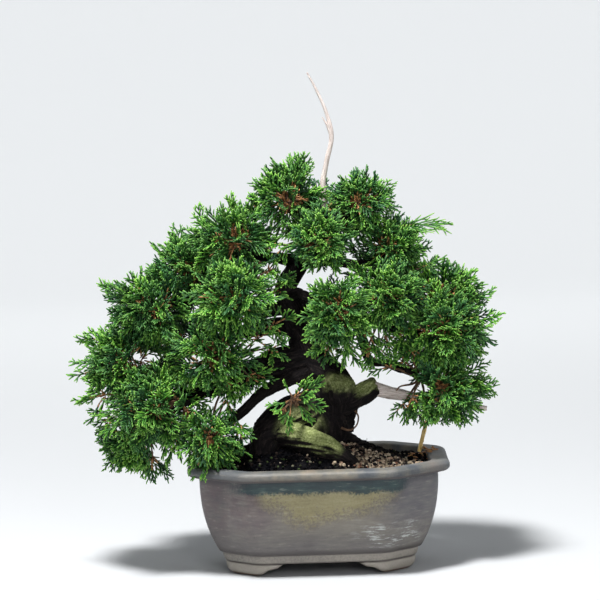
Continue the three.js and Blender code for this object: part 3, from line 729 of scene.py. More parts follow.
bark = Finish("juniper_bark", Roughness=0.92, Specular_IOR_Level=0.12)
spot = bark.here(POT_MIDDLE)
grain_lines = bark.node("ShaderNodeAttribute", {"attribute_name": "grain"}, output=1)
strings = bark.noise(bark.stretched(grain_lines, (4.0, 4.0, 0.9)), 2.2, 5.0, 0.65)
patches = bark.noise(spot, 55.0, 3.0, 0.6)
speckle = bark.noise(spot, 900.0, 2.0, 0.7)
wood_colour = bark.colours(
    strings,
    [(0.3, (0.002, 0.002, 0.0025)), (0.5, (0.007, 0.0055, 0.006)), (0.62, (0.018, 0.014, 0.013)),
     (0.75, (0.050, 0.038, 0.033))],
)
level = bark.part(bark.node("ShaderNodeNewGeometry", output=1), "Z")


def near(middle, size):
    """1 at a point given in metres from the pot's middle, fading to 0 at a distance of `size`."""
    away = bark.node("ShaderNodeVectorMath", {"operation": "DISTANCE"}, {0: spot, 1: middle}, "Value")
    return away.step(size, size * 0.45)


on_root = near((-0.009, -0.028, 0.089), 0.021) + near((0.006, -0.032, 0.082), 0.013)
on_burl = near((0.014, -0.020, 0.118), 0.013) * 0.8 + near((0.031, -0.010, 0.117), 0.014) * 0.9
moss_place = (level + 1.1 * patches).step(0.35, 0.95) * (on_root + on_burl)
moss_colour = bark.colours(
    speckle * 0.6 + strings * 0.4,
    [(0.3, (0.045, 0.062, 0.016)), (0.5, (0.200, 0.235, 0.085)), (0.7, (0.46, 0.48, 0.24))],
)
bark.feed("Base Color", bark.mix(moss_place, wood_colour, moss_colour))
bark.bump(strings * 0.75 + speckle * 0.25, 0.0012)

living = grown("living_wood", LIMBS, 0.8, (0.16, 0.55), bark)
settle(
    living,
    ["trunk", "branch_left_low", "branch_left_under", "branch_left_mid", "branch_left_high",
     "branch_right_high", "branch_right_mid", "branch_right_low", "branch_front", "branch_front_low",
     "branch_back_left", "branch_back_right", "branch_crown_back", "branch_crown_left",
     "branch_crown_right"],
)


# ---------------------------------------------------------------- deadwood
# Two bare limbs, silvered and split by the weather: the old leader above the crown and a low one
# to the right. They are solid wood without bark, grey-white with a little pink and brown.

dead = Finish("weathered_deadwood", Roughness=0.7, Specular_IOR_Level=0.3)
grain_lines = dead.node("ShaderNodeAttribute", {"attribute_name": "grain"}, output=1)
streaks = dead.noise(dead.stretched(grain_lines, (2.4, 2.4, 0.7)), 2.6, 4.0, 0.65)
dead.feed("Base Color", dead.colours(
    streaks,
    [(0.3, (0.16, 0.11, 0.09)), (0.42, (0.50, 0.41, 0.37)), (0.55, (0.68, 0.60, 0.56)),
     (0.75, (0.82, 0.77, 0.74))],
))
dead.bump(streaks, 0.0005)

LEADER = [
    ([(7, 5, 157), (8, 5, 169), (8, 5, 178), (11, 5, 191), (14, 5, 203), (13, 5, 215), (7, 5, 232),
      (0, 5, 246)], (2.4, 2, 1.6, 1.5, 1.5, 1.1, 0.9, 0.5)),
    ([(13.6, 5, 207), (11, 5, 214), (8.6, 5, 218)], (1, 0.7, 0.4)),
]
LOW_LIMB = [([(36, -8, 47), (54, -8, 43), (78, -8, 38), (107, -8, 32.5)], (4.3, 3.2, 2, 1.5))]
settle(grown("dead_leader", LEADER, 0.32, (0.12, 0.12), dead), ["deadwood_apex"])
settle(grown("dead_low_limb", LOW_LIMB, 0.4, (0.14, 0.2), dead), ["deadwood_right"])


# ---------------------------------------------------------------- foliage
# Scale-leaved juniper shoots, a little over a millimetre thick. They fork in flat fans, and the
# fans stand in tufts round the end of each orange-brown twig. Every cloud of tufts is one piece.

GOLDEN_TURN = 2.399963


def unit(v):
    """A direction, or each row of directions, at a length of one."""
    v = np.asarray(v, float)
    return v / np.maximum(np.linalg.norm(v, axis=-1, keepdims=True), 1e-9)


def scatter_nodes():
    """Geometry Nodes: a shape on every point, turned, sized and tinted by the point's attributes."""
    tree = bpy.data.node_groups.new("scatter", "GeometryNodeTree")
    sockets = {}
    for name, way, kind in (("Points", "INPUT", "Geometry"), ("Shape", "INPUT", "Object"),
                            ("Look", "INPUT", "Material"), ("Result", "OUTPUT", "Geometry")):
        socket = tree.interface.new_socket(name, in_out=way, socket_type="NodeSocket" + kind)
        sockets[name] = socket.identifier

    def add(kind, settings=None, inputs=None):
        made = tree.nodes.new(kind)
        for key, value in (settings or {}).items():
            setattr(made, key, value)
        for key, value in (inputs or {}).items():
            if isinstance(value, bpy.types.NodeSocket):
                tree.links.new(value, made.inputs[key])
            else:
                made.inputs[key].default_value = value
        return made

    def named(name, kind):
        read = add("GeometryNodeInputNamedAttribute", {"data_type": kind}, {"Name": name})
        return read.outputs["Attribute"]

    given = add("NodeGroupInput")
    shape_info = add("GeometryNodeObjectInfo", inputs={"Object": given.outputs["Shape"]})
    turn = add("FunctionNodeEulerToRotation", inputs={0: named("turn", "FLOAT_VECTOR")})
    placed = add(
        "GeometryNodeInstanceOnPoints",
        inputs={"Points": given.outputs["Points"], "Instance": shape_info.outputs["Geometry"],
                "Rotation": turn.outputs[0], "Scale": named("size", "FLOAT_VECTOR")},
    )
    solid = add("GeometryNodeRealizeInstances", inputs={"Geometry": placed.outputs["Instances"]})
    strip = add("ShaderNodeCombineXYZ", inputs={"X": named("along", "FLOAT"), "Y": named("tint", "FLOAT")})
    mapped = add(
        "GeometryNodeStoreNamedAttribute", {"data_type": "FLOAT2", "domain": "CORNER"},
        {"Geometry": solid.outputs[0], "Name": "OFBake", "Value": strip.outputs[0]},
    )
    coloured = add(
        "GeometryNodeSetMaterial",
        inputs={"Geometry": mapped.outputs[0], "Material": given.outputs["Look"]},
    )
    add("NodeGroupOutput", inputs={"Result": coloured.outputs[0]})
    return tree, sockets


SCATTER, SCATTER_SOCKETS = scatter_nodes()


def euler(forward, normal):
    """Turns that carry +Z to each forward direction and +Y as near to each normal as it can be."""
    z = unit(forward)
    x = unit(np.cross(normal, z))
    y = np.cross(z, x)
    matrix = np.stack([x, y, z], 2)
    pitch = -np.arcsin(np.clip(matrix[:, 2, 0], -1, 1))
    roll = np.arctan2(matrix[:, 2, 1], matrix[:, 2, 2])
    yaw = np.arctan2(matrix[:, 1, 0], matrix[:, 0, 0])
    return np.stack([roll, pitch, yaw], 1)


def scattered(name, points, turns, sizes, tints, shape, finish, replaces=(), smooth=True):
    """One piece made of a shape repeated on points given in millimetres."""
    mesh = bpy.data.meshes.new(name)
    mesh.from_pydata([tuple(p) for p in place(points)], [], [])
    for key, kind, field, values in (
        ("turn", "FLOAT_VECTOR", "vector", turns),
        ("size", "FLOAT_VECTOR", "vector", np.asarray(sizes) * MM),
        ("tint", "FLOAT", "value", tints),
    ):
        mesh.attributes.new(key, kind, "POINT").data.foreach_set(field, np.ravel(values))
    made = bpy.data.objects.new(name, mesh)
    scene.collection.objects.link(made)
    grow = made.modifiers.new("scatter", "NODES")
    grow.node_group = SCATTER
    grow[SCATTER_SOCKETS["Shape"]] = shape
    grow[SCATTER_SOCKETS["Look"]] = finish.material
    solid = applied(made, grow)
    solid.polygons.foreach_set("use_smooth", [smooth] * len(solid.polygons))
    settle(made, replaces)


def pattern(name, rings, sides):
    """A small shape to repeat: rings of (height, radius) round +Z, closed at both ends."""
    points, faces, along = [], [], []
    for k, (z, r) in enumerate(rings):
        for i in range(sides):
            a = 2 * math.pi * (i + 0.5 * (k % 2)) / sides
            points.append((r * math.cos(a), r * math.sin(a), z))
            along.append(z)
    for k in range(len(rings) - 1):
        for i in range(sides):
            j = (i + 1) % sides
            low, high = k * sides, (k + 1) * sides
            if k % 2 == 0:
                faces += [(low + i, low + j, high + i), (low + j, high + j, high + i)]
            else:
                faces += [(low + i, low + j, high + j), (low + i, high + j, high + i)]
    tip = len(points)
    points.append((0, 0, rings[-1][0] + rings[-1][1] * 0.09))
    along.append(1.0)
    last = (len(rings) - 1) * sides
    faces += [(last + i, last + (i + 1) % sides, tip) for i in range(sides)]
    faces.append(tuple(range(sides - 1, -1, -1)))
    mesh = bpy.data.meshes.new(name)
    mesh.from_pydata(points, [], faces)
    mesh.attributes.new("along", "FLOAT", "POINT").data.foreach_set("value", along)
    return bpy.data.objects.new(name, mesh)


shoot = pattern("shoot", [(0.0, 0.75), (0.3, 1.0), (0.62, 0.92), (0.88, 0.62)], 3)

leaf = Finish("juniper_leaf", Roughness=0.5, Specular_IOR_Level=0.35)
along, tint = leaf.own("X"), leaf.own("Y")
# Along each shoot the colour runs from near black at its base to green at its tip: partly the lighter new
# growth, and partly painted shade at the base and painted light at the tip.
young_and_lit = leaf.colours(
    along,
    [(0.0, (0.004, 0.026, 0.004)), (0.35, (0.030, 0.132, 0.012)), (0.7, (0.120, 0.320, 0.030)),
     (1.0, (0.34, 0.57, 0.11))],
)
old_and_shaded = leaf.colours(
    along,
    [(0.0, (0.003, 0.020, 0.006)), (0.5, (0.008, 0.052, 0.014)), (1.0, (0.050, 0.180, 0.044))],
)
twiggy = leaf.colours(
    along,
    [(0.0, (0.240, 0.105, 0.045)), (0.6, (0.420, 0.205, 0.080)), (1.0, (0.340, 0.240, 0.070))],
)
greens = leaf.mix(tint.step(0.2, 0.95), old_and_shaded, young_and_lit)
leaf.feed("Base Color", leaf.mix(tint.step(0.12, 0.10), greens, twiggy))

twig_finish = Finish("twig_bark", Roughness=0.75, Specular_IOR_Level=0.3)
twig_finish.feed("Base Color", twig_finish.colours(
    twig_finish.noise(twig_finish.here(), 260.0, 3.0, 0.6),
    [(0.3, (0.045, 0.026, 0.018)), (0.5, (0.120, 0.068, 0.040)), (0.7, (0.230, 0.130, 0.070))],
))

# Each cloud: its name, how many tufts it has, which way its shoots lean, and where its twigs start.
CLOUDS = [
    ("apex_left", 15, (-0.1, 0.0, 0.55), (-12, -5, 160)),
    ("apex_right", 14, (0.3, 0.0, 0.5), (29, 4, 156)),
    ("crown_front", 13, (0.0, -0.3, 0.25), (8, -10, 139)),
    ("upper_left", 16, (-0.35, 0.0, 0.4), (-40, -4, 136)),
    ("left_shoulder", 15, (-0.4, 0.0, 0.35), (-72, 5, 113)),
    ("left_tier", 18, (-0.5, 0.0, 0.15), (-90, 1, 102)),
    ("centre_left", 16, (-0.2, -0.4, 0.2), (-47, -14, 104)),
    ("left_outer", 17, (-0.5, 0.0, -0.05), (-104, -2, 52)),
    ("left_front", 22, (-0.4, -0.3, -0.15), (-84, -14, 45)),
    ("droop_outer", 14, (-0.2, 0.0, -0.6), (-104, -4, 35)),
    ("droop_inner", 13, (0.0, -0.3, -0.6), (-66, -25, 26)),
    ("left_inner", 16, (-0.2, -0.3, 0.0), (-58, -16, 68)),
    ("front_centre", 15, (0.0, -0.4, -0.3), (12, -38, 100)),
    ("front_low", 0, (0.0, 0.0, 0.0), (-12, -34, 43)),
    ("right_upper", 15, (0.4, 0.0, 0.35), (52, 8, 131)),
    ("right_shoulder", 15, (0.5, 0.0, 0.25), (78, 5, 101)),
    ("right_mid", 17, (0.4, -0.3, 0.0), (76, -8, 88)),
    ("right_centre", 15, (0.1, -0.5, 0.0), (44, -18, 103)),
    ("right_low", 17, (0.3, -0.2, -0.35), (66, -12, 53)),
    ("back_crown", 15, (0.0, 0.5, 0.35), (6, 36, 147)),
    ("back_left_high", 16, (-0.2, 0.4, 0.3), (-52, 44, 111)),
    ("back_left_low", 17, (-0.4, 0.4, -0.1), (-80, 44, 71)),
    ("back_right_high", 16, (0.2, 0.4, 0.3), (52, 44, 111)),
    ("back_right_low", 16, (0.4, 0.4, -0.1), (70, 40, 73)),
]


class Sprays:
    """Collects the shoots of one cloud. Where it is sparse, fans keep out of the openings."""

    def __init__(self, random, sparse):
        self.random = random
        self.sparse = sparse
        self.shoots = []

    def shoot(self, start, way, face, length, radius, tint):
        self.shoots.append((start, way, face, (radius, radius, length), tint))

    def fan(self, start, way, face, length, sag, tint):
        """A flat forking fan: a bent main shoot with side shoots to left and right in turn."""
        r = self.random
        way = unit(way)
        if self.sparse and any(in_opening(start + way * length * share) for share in (0.45, 0.85)):
            return
        face = unit(face - way * (face @ way))
        across = np.cross(way, face)
        bend = r.normal(0, 0.16)
        steps = 4
        at, heading = np.array(start, float), way
        pegs = [at]
        for k in range(steps):
            drift = across * bend / steps * 2 + face * r.normal(0, 0.05) + (0, 0, sag / steps)
            heading = unit(heading + drift)
            step = length / steps
            brown = k == 0 or (k == 1 and r.random() < 0.35)
            self.shoot(at, heading, face, step * 1.12, 0.66 - 0.03 * k, 0.05 if brown else tint)
            at = at + heading * step
            pegs.append(at)
        count = max(5, int(length / 2.6))
        side = 1 if r.random() < 0.5 else -1
        for k in range(count):
            t = 0.26 + 0.72 * k / count
            low = min(int(t * steps), steps - 1)
            base = pegs[low] + (pegs[low + 1] - pegs[low]) * (t * steps - low)
            angle = math.radians(r.uniform(28, 40) * (1 - 0.3 * t))
            along = unit(pegs[low + 1] - pegs[low])
            turned_out = along * math.cos(angle) + across * side * math.sin(angle)
            out = unit(turned_out + face * r.normal(0, 0.14))
            reach = length * (0.68 - 0.42 * t) * r.uniform(0.8, 1.15)
            shade = float(np.clip(tint + r.normal(0, 0.06), 0.13, 1))
            self.shoot(base, out, face, reach, r.uniform(0.54, 0.66), shade)
            if reach > 6.0:
                for s, way_out in ((0.38, 1), (0.62, -1)):
                    if r.random() < 0.7:
                        turn = math.radians(r.uniform(28, 42)) * way_out * side
                        branch = unit(out * math.cos(turn) + np.cross(face, out) * -math.sin(turn))
                        small = reach * (1 - s) * r.uniform(0.75, 1.0)
                        at = base + out * reach * s
                        self.shoot(at, branch, face, max(small, 3.0), 0.54, shade)
            side = -side

    def tuft(self, hub, outward, lean, size, count, sag, tone):
        """Fans that spread from the end of a twig, the outer ones more splayed than the inner."""
        r = self.random
        helper = unit(np.cross(outward, (0.2, 0.3, 0.9)))
        other = np.cross(outward, helper)
        start = r.uniform(0, 2 * math.pi)
        for k in range(count):
            round_ = start + GOLDEN_TURN * k + r.normal(0, 0.2)
            tilt = math.radians(8 + 66 * ((k + 0.5) / count) ** 0.65) * r.uniform(0.85, 1.12)
            ray = helper * math.cos(round_) + other * math.sin(round_)
            splayed = outward * math.cos(tilt) + ray * math.sin(tilt)
            way = unit(splayed + lean * 0.45 + r.normal(0, 0.08, 3))
            face = outward * 0.7 - ray * 0.2 + r.normal(0, 0.45, 3)
            tint = float(np.clip(r.normal(0.60, 0.2) + tone, 0.14, 1))
            foot = hub + way * r.uniform(0.0, 2.5)
            self.fan(foot, way, face, size * r.uniform(0.72, 1.15), sag, tint)


# Tufts that stand outside the clouds' even spread, by cloud: a tuft's hub, the way it points, its
# size and the number of its fans. Those with one fan are long shoots that have outgrown the rest.
LONE_TUFTS = {
    "back_left_high": [((-58, 22, 112), (-6, 2, 16), 17, 8), ((-28, 24, 132), (-4, 2, 16), 17, 8)],
    "back_left_low": [((-92, 22, 82), (-16, 2, 4), 18, 8), ((-98, 22, 58), (-14, 0, -4), 17, 8)],
    "back_crown": [((2, 24, 146), (0, 2, 18), 17, 8)],
    "back_right_high": [((52, 24, 114), (6, 2, 16), 17, 8)],
    "back_right_low": [((84, 16, 72), (16, 2, 2), 18, 8)],
    "left_front": [((-112, -12, 22), (-6, -4, -16), 17, 7), ((-88, -22, 22), (-2, -4, -16), 17, 7),
        ((-132, -6, 48), (-12, -4, -4), 17, 6), ((-128, -8, 34), (-12, -4, -6), 16, 6)],
    "droop_outer": [((-118, -4, 14), (-4, 0, -18), 17, 6), ((-104, -6, 8), (2, 0, -18), 16, 5)],
    "droop_inner": [((-70, -32, 14), (-4, -4, -18), 16, 6), ((-58, -34, 20), (4, -4, -18), 17, 6),
        ((-48, -30, 30), (6, -6, -14), 16, 6), ((-54, -26, 58), (2, -8, -4), 15, 7),
        ((-56, -28, 46), (4, -8, -10), 15, 6)],
    "front_low": [((-14, -41, 47), (6, -5, 15), 15, 1), ((-14, -41, 47), (17, -5, 10), 21, 1),
        ((-14, -41, 47), (16, -7, -3), 20, 1), ((-14, -41, 46), (9, -5, -13), 18, 1),
        ((-16, -41, 45), (-3, -5, -18), 19, 1), ((-16, -41, 46), (-12, -3, -7), 15, 1),
        ((-15, -41, 47), (-5, -4, 13), 13, 1), ((-14, -42, 47), (12, -10, 3), 16, 1),
        ((-20, -40, 41), (-2, -4, -13), 14, 3), ((-13, -41, 48), (12, -4, 14), 17, 1)],
    "right_upper": [((46, 6, 147), (28, -2, 5), 38, 1)],
    "left_outer": [((-142, 0, 62), (-19, -2, -7), 15, 1), ((-136, -4, 69), (-16, -4, -5), 17, 1),
        ((-130, -2, 60), (-12, -4, 0), 17, 6)],
    "left_tier": [((-130, 0, 81), (-17, -2, 7), 19, 1), ((-118, 0, 105), (-16, 0, 14), 21, 1)],
    "upper_left": [((-67, -6, 151), (-6, -2, 14), 16, 1)],
    "apex_left": [((-33, -4, 158), (-6, -2, 13), 15, 1)],
    "apex_right": [((22, 4, 160), (7, 0, 18), 19, 1)],
    "right_shoulder": [((98, -6, 101), (16, -4, 6), 17, 1)],
    "right_mid": [((91, -10, 76), (17, -2, -7), 18, 1), ((98, -10, 88), (18, -2, -2), 19, 2),
        ((94, -10, 80), (18, -2, 2), 18, 2)],
    "front_centre": [((6, -30, 90), (-4, -6, -15), 15, 6), ((18, -26, 90), (2, -6, -15), 15, 6),
        ((8, -28, 78), (-2, -8, -14), 14, 6), ((20, -26, 76), (4, -8, -14), 14, 6)],
    "right_centre": [((33, -20, 86), (0, -6, -12), 15, 7), ((44, -16, 82), (4, -6, -12), 16, 7),
        ((54, -18, 84), (6, -8, -10), 16, 7), ((40, -14, 74), (-4, -10, -4), 13, 6),
        ((33, -22, 74), (2, -8, -12), 13, 6)],
    "right_low": [((56, -14, 64), (-10, -6, 6), 15, 6), ((60, -16, 72), (-6, -8, -2), 15, 6),
        ((46, -22, 62), (-6, -8, 2), 13, 6), ((52, -24, 50), (-6, -8, -6), 13, 6),
        ((60, -24, 44), (-2, -8, -8), 14, 6), ((55, -14, 38), (-2, -4, -12), 14, 6),
        ((68, -12, 37), (2, -4, -12), 15, 6)],
    "left_inner": [((-26, -16, 90), (6, -10, -4), 15, 7), ((-48, -20, 52), (4, -8, -10), 15, 7),
        ((-38, -16, 60), (6, -8, -8), 14, 6), ((-36, -20, 82), (6, -8, 4), 15, 7),
        ((-27, -20, 76), (6, -8, -4), 13, 6), ((-42, -26, 60), (6, -8, -6), 13, 6)],
    "centre_left": [((-28, -14, 124), (10, -8, 0), 16, 7), ((-24, -12, 112), (8, -8, -8), 15, 7)],
    "crown_front": [((-16, -14, 140), (-6, -8, -8), 16, 7)],
}

# Places where the sky shows through: (x, height from the soil, half width, half height), in
# millimetres. They follow the line of sight, which falls by one in eight.
OPENINGS = [
    (-107, 70, 9, 6), (-76, 68, 9, 4), (-101, 12, 6, 9), (-19, 50, 7, 7), (-12, 84, 6, 7),
    (5, 119, 7, 6), (-36, 41, 11, 6), (76, 137, 7, 9), (2, 176, 4, 7), (50, 48, 13, 11),
]
SIGHT_FALL = 0.125


def in_opening(point):
    level = point[2] - SOIL_EDGE + SIGHT_FALL * point[1]
    return any(
        ((point[0] - across) / wide) ** 2 + ((level - up) / tall) ** 2 < 1
        for across, up, wide, tall in OPENINGS
    )


FULLNESS, LARGEST_TUFT = 0.72, 21.0
TUFT_FANS, INNER_TUFTS, INNER_FANS = 9, 3, 8
all_twigs = []
for number, (name, tufts, lean, root) in enumerate(CLOUDS):
    low, high = [(np.array(corner) - POT_MIDDLE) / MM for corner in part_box("foliage_" + name)]
    middle, half = (low + high) / 2, (high - low) / 2
    lean = np.array(lean, float)
    sprays = Sprays(np.random.default_rng(100 + number), tufts > 0)
    r = sprays.random
    root = lifted(root)
    size = min(LARGEST_TUFT, 0.86 * half.mean() + 1.5)
    sag = -0.10 + 0.3 * min(0.0, lean[2])
    hubs = []
    count = int(tufts * FULLNESS)
    for k in range(count):
        z = 1 - 2 * (k + 0.5) / count
        flat = math.sqrt(1 - z * z)
        a = k * GOLDEN_TURN + number
        direction = np.array([flat * math.cos(a), flat * math.sin(a), z])
        direction = unit(direction + r.normal(0, 0.15, 3))
        reach = 1 / np.linalg.norm(direction / half)
        hub = middle + direction * max(3.0, reach - size * r.uniform(0.80, 1.05))
        hubs.append((hub, unit(direction / half * half.mean() + lean * 0.3), size, TUFT_FANS, 0.0))
    # Painted shade: the inner tufts are tinted darker, partly as older foliage and partly to stand for the
    # shade deep inside the cloud.
    for _ in range(INNER_TUFTS if tufts else 0):
        hub = middle + half * r.uniform(-0.3, 0.3, 3)
        hubs.append((hub, unit(r.normal(0, 1, 3)), size * 0.8, INNER_FANS, -0.35))
    for at, way, reach, fans in LONE_TUFTS.get(name, ()):
        hubs.append((lifted(at), unit(way), reach, fans, 0.1))
    for hub, outward, reach, fans, tone in hubs:
        if fans == 1:
            sprays.fan(hub, outward, r.normal(0, 0.4, 3) + (0, -0.6, 0.6), reach, sag, 0.8)
        else:
            sprays.tuft(hub, outward, lean, reach, fans, sag, tone)
        bow = (root + hub) / 2 + r.normal(0, 1.5, 3) - outward * 2
        twig = smooth_path([root, bow, hub, hub + outward * 4], 2.6)
        all_twigs.append(tube(twig, (1.0, 0.8, 0.6, 0.45), 5))
    starts, ways, faces, sizes, tints = map(np.array, zip(*sprays.shoots))
    name = "foliage_" + name
    scattered(name, starts, euler(ways, faces), sizes, tints, shoot, leaf, [name])

points, faces = joined(all_twigs)
new_piece("twigs", place(points), faces, twig_finish, "bark")


# ---------------------------------------------------------------- soil
# A dark, fibrous root ball that rises under the trunk, with crumbs of soil, thread-like roots and
# a few bits of moss on it. Pale fired-clay and lava grit dresses the front right.

MOUND_HEIGHT, MOUND_LENGTH, MOUND_DEPTH = 19.0, 136.0, 108.0
MOUND = np.array([-7.0, 2.0])
SOIL_INSET = body_inset(SOIL_EDGE) + WALL
SOIL_RANDOM = np.random.default_rng(5)


def soil_top(points):
    """The soil's height at points of the plan, with its lumps."""
    points = np.asarray(points, float)
    across = (points[:, 0] - MOUND[0]) / (MOUND_LENGTH / 2)
    deep = (points[:, 1] - MOUND[1]) / (MOUND_DEPTH / 2)
    top = SOIL_EDGE + MOUND_HEIGHT * np.maximum(0, 1 - across**2 - deep**2) ** 1.5
    lumps = [
        1.7 * noise.noise(Vector((px * 0.09, py * 0.09, 4.0)))
        + 0.9 * noise.noise(Vector((px * 0.3, py * 0.3, 9.0)))
        for px, py in points
    ]
    return top + np.array(lumps) - 0.4


def inside_pot(points, inset):
    """Which points of the plan lie inside the pot's outline, moved in by an inset."""
    ring = pot_outline(inset)
    angle, edge = np.arctan2(ring[:, 1], ring[:, 0]), np.linalg.norm(ring, axis=1)
    order = np.argsort(angle)
    bearing = np.arctan2(points[:, 1], points[:, 0])
    reach = np.interp(bearing, angle[order], edge[order], period=2 * math.pi)
    return np.linalg.norm(points, axis=1) < reach


earth = Finish("dark_soil", Roughness=1.0, Specular_IOR_Level=0.05)
spot = earth.here(POT_MIDDLE)
crumbs = earth.noise(spot, 700.0, 3.0, 0.7)
damp = earth.noise(spot, 90.0, 3.0, 0.6)
earth.feed("Base Color", earth.colours(
    crumbs * 0.7 + damp * 0.3,
    [(0.35, (0.0008, 0.001, 0.0016)), (0.5, (0.0025, 0.0025, 0.0035)), (0.64, (0.008, 0.0075, 0.008)),
     (0.78, (0.05, 0.042, 0.034))],
))
earth.bump(crumbs, 0.001)

ring = pot_outline(SOIL_INSET)
soil_points = []
for inset, level in ((body_inset(FLOOR_TOP + 9) + WALL, FLOOR_TOP + 8.6), (body_inset(45) + WALL, 45.0)):
    soil_points.extend((px, py, level) for px, py in pot_outline(inset))
SHARES = np.linspace(1, 0.04, 44)
for share in SHARES:
    flat = ring * share
    soil_points.extend((px, py, h) for (px, py), h in zip(flat, soil_top(flat)))
soil_faces = capped(2 + len(SHARES), OUTLINE_COUNT)
new_piece("soil", place(soil_points), soil_faces, earth, "soil", ["soil_bed"])


def strewn(count, inset):
    """Points of the plan strewn evenly inside the pot."""
    half = np.array((RIM_LENGTH, RIM_DEPTH)) / 2
    found = SOIL_RANDOM.uniform(-half, half, (count * 2, 2))
    return found[inside_pot(found, inset)][:count]


crumb_shape = pattern("crumb", [(-0.75, 0.55), (-0.1, 1.0), (0.55, 0.75)], 5)
thread_shape = pattern("thread", [(0.0, 0.8), (0.5, 1.0), (0.9, 0.7)], 3)


def tumbled(count):
    return SOIL_RANDOM.uniform(-math.pi, math.pi, (count, 3))


def grains(name, flat, width, above, squash, tint, finish, replaces=()):
    """Loose grains on the soil, turned and squashed at random; tint is a power and a highest tint."""
    turns = tumbled(len(flat))
    sizes = width[:, None] * SOIL_RANDOM.uniform(*squash, (len(flat), 3))
    tints = SOIL_RANDOM.random(len(flat)) ** tint[0] * tint[1]
    points = np.column_stack([flat, soil_top(flat) + above])
    scattered(name, points, turns, sizes, tints, crumb_shape, finish, replaces, smooth=False)


crumb_finish = Finish("soil_crumbs", Roughness=1.0, Specular_IOR_Level=0.02)
crumb_finish.feed("Base Color", crumb_finish.colours(
    crumb_finish.own("Y"),
    [(0.0, (0.0008, 0.001, 0.0015)), (0.5, (0.002, 0.002, 0.003)), (0.8, (0.006, 0.0055, 0.006)),
     (0.92, (0.030, 0.022, 0.018)), (0.97, (0.03, 0.05, 0.016)), (1.0, (0.30, 0.26, 0.21))],
))
flat = strewn(3400, SOIL_INSET + 0.8)
width = SOIL_RANDOM.uniform(0.45, 1.35, len(flat))
grains("soil_crumbs", flat, width, width * 0.2, (0.7, 1.2), (1.0, 1.0), crumb_finish)

ROOTS_MIDDLE, ROOTS_REACH = (-14, -16), (52, 34)
flat = strewn(1500, SOIL_INSET + 4)
away = np.linalg.norm((flat - ROOTS_MIDDLE) / ROOTS_REACH, axis=1)
flat = flat[away < SOIL_RANDOM.uniform(0.5, 1.2, len(flat))]
lie = SOIL_RANDOM.normal(0, 1, (len(flat), 3)) * (1, 1, 0.45)
scattered(
    "fine_roots",
    np.column_stack([flat, soil_top(flat) + 0.3]),
    euler(lie, SOIL_RANDOM.normal(0, 1, (len(flat), 3))),
    np.column_stack([np.full((len(flat), 2), 0.24), SOIL_RANDOM.uniform(3.0, 9.0, len(flat))]),
    np.clip(SOIL_RANDOM.normal(0.62, 0.2, len(flat)), 0, 0.97),
    thread_shape, crumb_finish,
)

grit_finish = Finish("clay_grit", Roughness=0.9, Specular_IOR_Level=0.25)
grit_finish.feed("Base Color", grit_finish.colours(
    grit_finish.own("Y"),
    [(0.0, (0.004, 0.003, 0.004)), (0.42, (0.008, 0.006, 0.006)), (0.52, (0.060, 0.038, 0.028)),
     (0.66, (0.22, 0.17, 0.115)), (0.8, (0.42, 0.35, 0.25)), (0.88, (0.20, 0.085, 0.05)),
     (1.0, (0.70, 0.60, 0.46))],
))
GRIT_MIDDLE, GRIT_REACH, GRIT_SPREAD, GRIT_COUNT = (38, -27), (36, 19), (17.0, 8.5), 1150
flat = GRIT_MIDDLE + SOIL_RANDOM.normal(0, 1, (2200, 2)) * GRIT_SPREAD
flat = flat[inside_pot(flat, SOIL_INSET + 1.6)]
flat = flat[np.linalg.norm((flat - GRIT_MIDDLE) / GRIT_REACH, axis=1) < 1][:GRIT_COUNT]
width = SOIL_RANDOM.uniform(0.8, 1.65, len(flat))
above = 0.3 + width * SOIL_RANDOM.uniform(-0.1, 0.75, len(flat))
grains("grit", flat, width, above, (0.75, 1.15), (0.8, 1.0), grit_finish, ["grit_dressing"])
flat = strewn(240, SOIL_INSET + 1.2)
width = SOIL_RANDOM.uniform(0.5, 1.1, len(flat))
grains("stray_grit", flat, width, width * 0.5, (0.75, 1.15), (1.0, 0.7), grit_finish)

# Dead brown shoots fallen by the stake, and a root that loops clear of the soil.
flat = np.array([67.0, 13.0]) + SOIL_RANDOM.normal(0, 1, (34, 2)) * (5.0, 8.0)
flat = flat[inside_pot(flat, 5.0)]
lie = SOIL_RANDOM.normal(0, 1, (len(flat), 3)) * (1, 1, 0.25)
on_rim = np.where(inside_pot(flat, SOIL_INSET + 1), soil_top(flat) + 0.8, POT_HEIGHT + 0.6)
scattered(
    "fallen_scraps",
    np.column_stack([flat, on_rim]),
    euler(lie, SOIL_RANDOM.normal(0, 1, (len(flat), 3))),
    np.column_stack([np.full((len(flat), 2), 0.6), SOIL_RANDOM.uniform(2.5, 5.5, len(flat))]),
    np.full(len(flat), 0.04),
    shoot, leaf,
)
loop = lifted([(15, -16, 24), (20, -17, 22.5), (24.5, -15, 25), (26, -12, 30), (24, -8, 34)])
points, faces = tube(smooth_path(loop, 1.2), (0.9, 0.65, 0.5, 0.5, 0.7), 7)
new_piece("looped_root", place(points), faces, twig_finish, "bark")


# ---------------------------------------------------------------- drainage
# Coarse pumice over the floor, and over each drain hole a square of black plastic mesh, held by a
# staple of soft aluminium wire whose legs go down through the hole and out along the underside.

GAP = 0.3
MESH_BARS, MESH_BAR, MESH_THICKNESS = 4, 1.4, 1.0
WIRE_RADIUS = 0.6
wire_leg = DRAIN_RADIUS - WIRE_RADIUS - 3 * GAP
mesh_pitch = 2 * (wire_leg - WIRE_RADIUS - GAP) - MESH_BAR
mesh_side = (MESH_BARS - 1) * mesh_pitch + MESH_BAR
mesh_middle = FLOOR_TOP + GAP + MESH_THICKNESS / 2

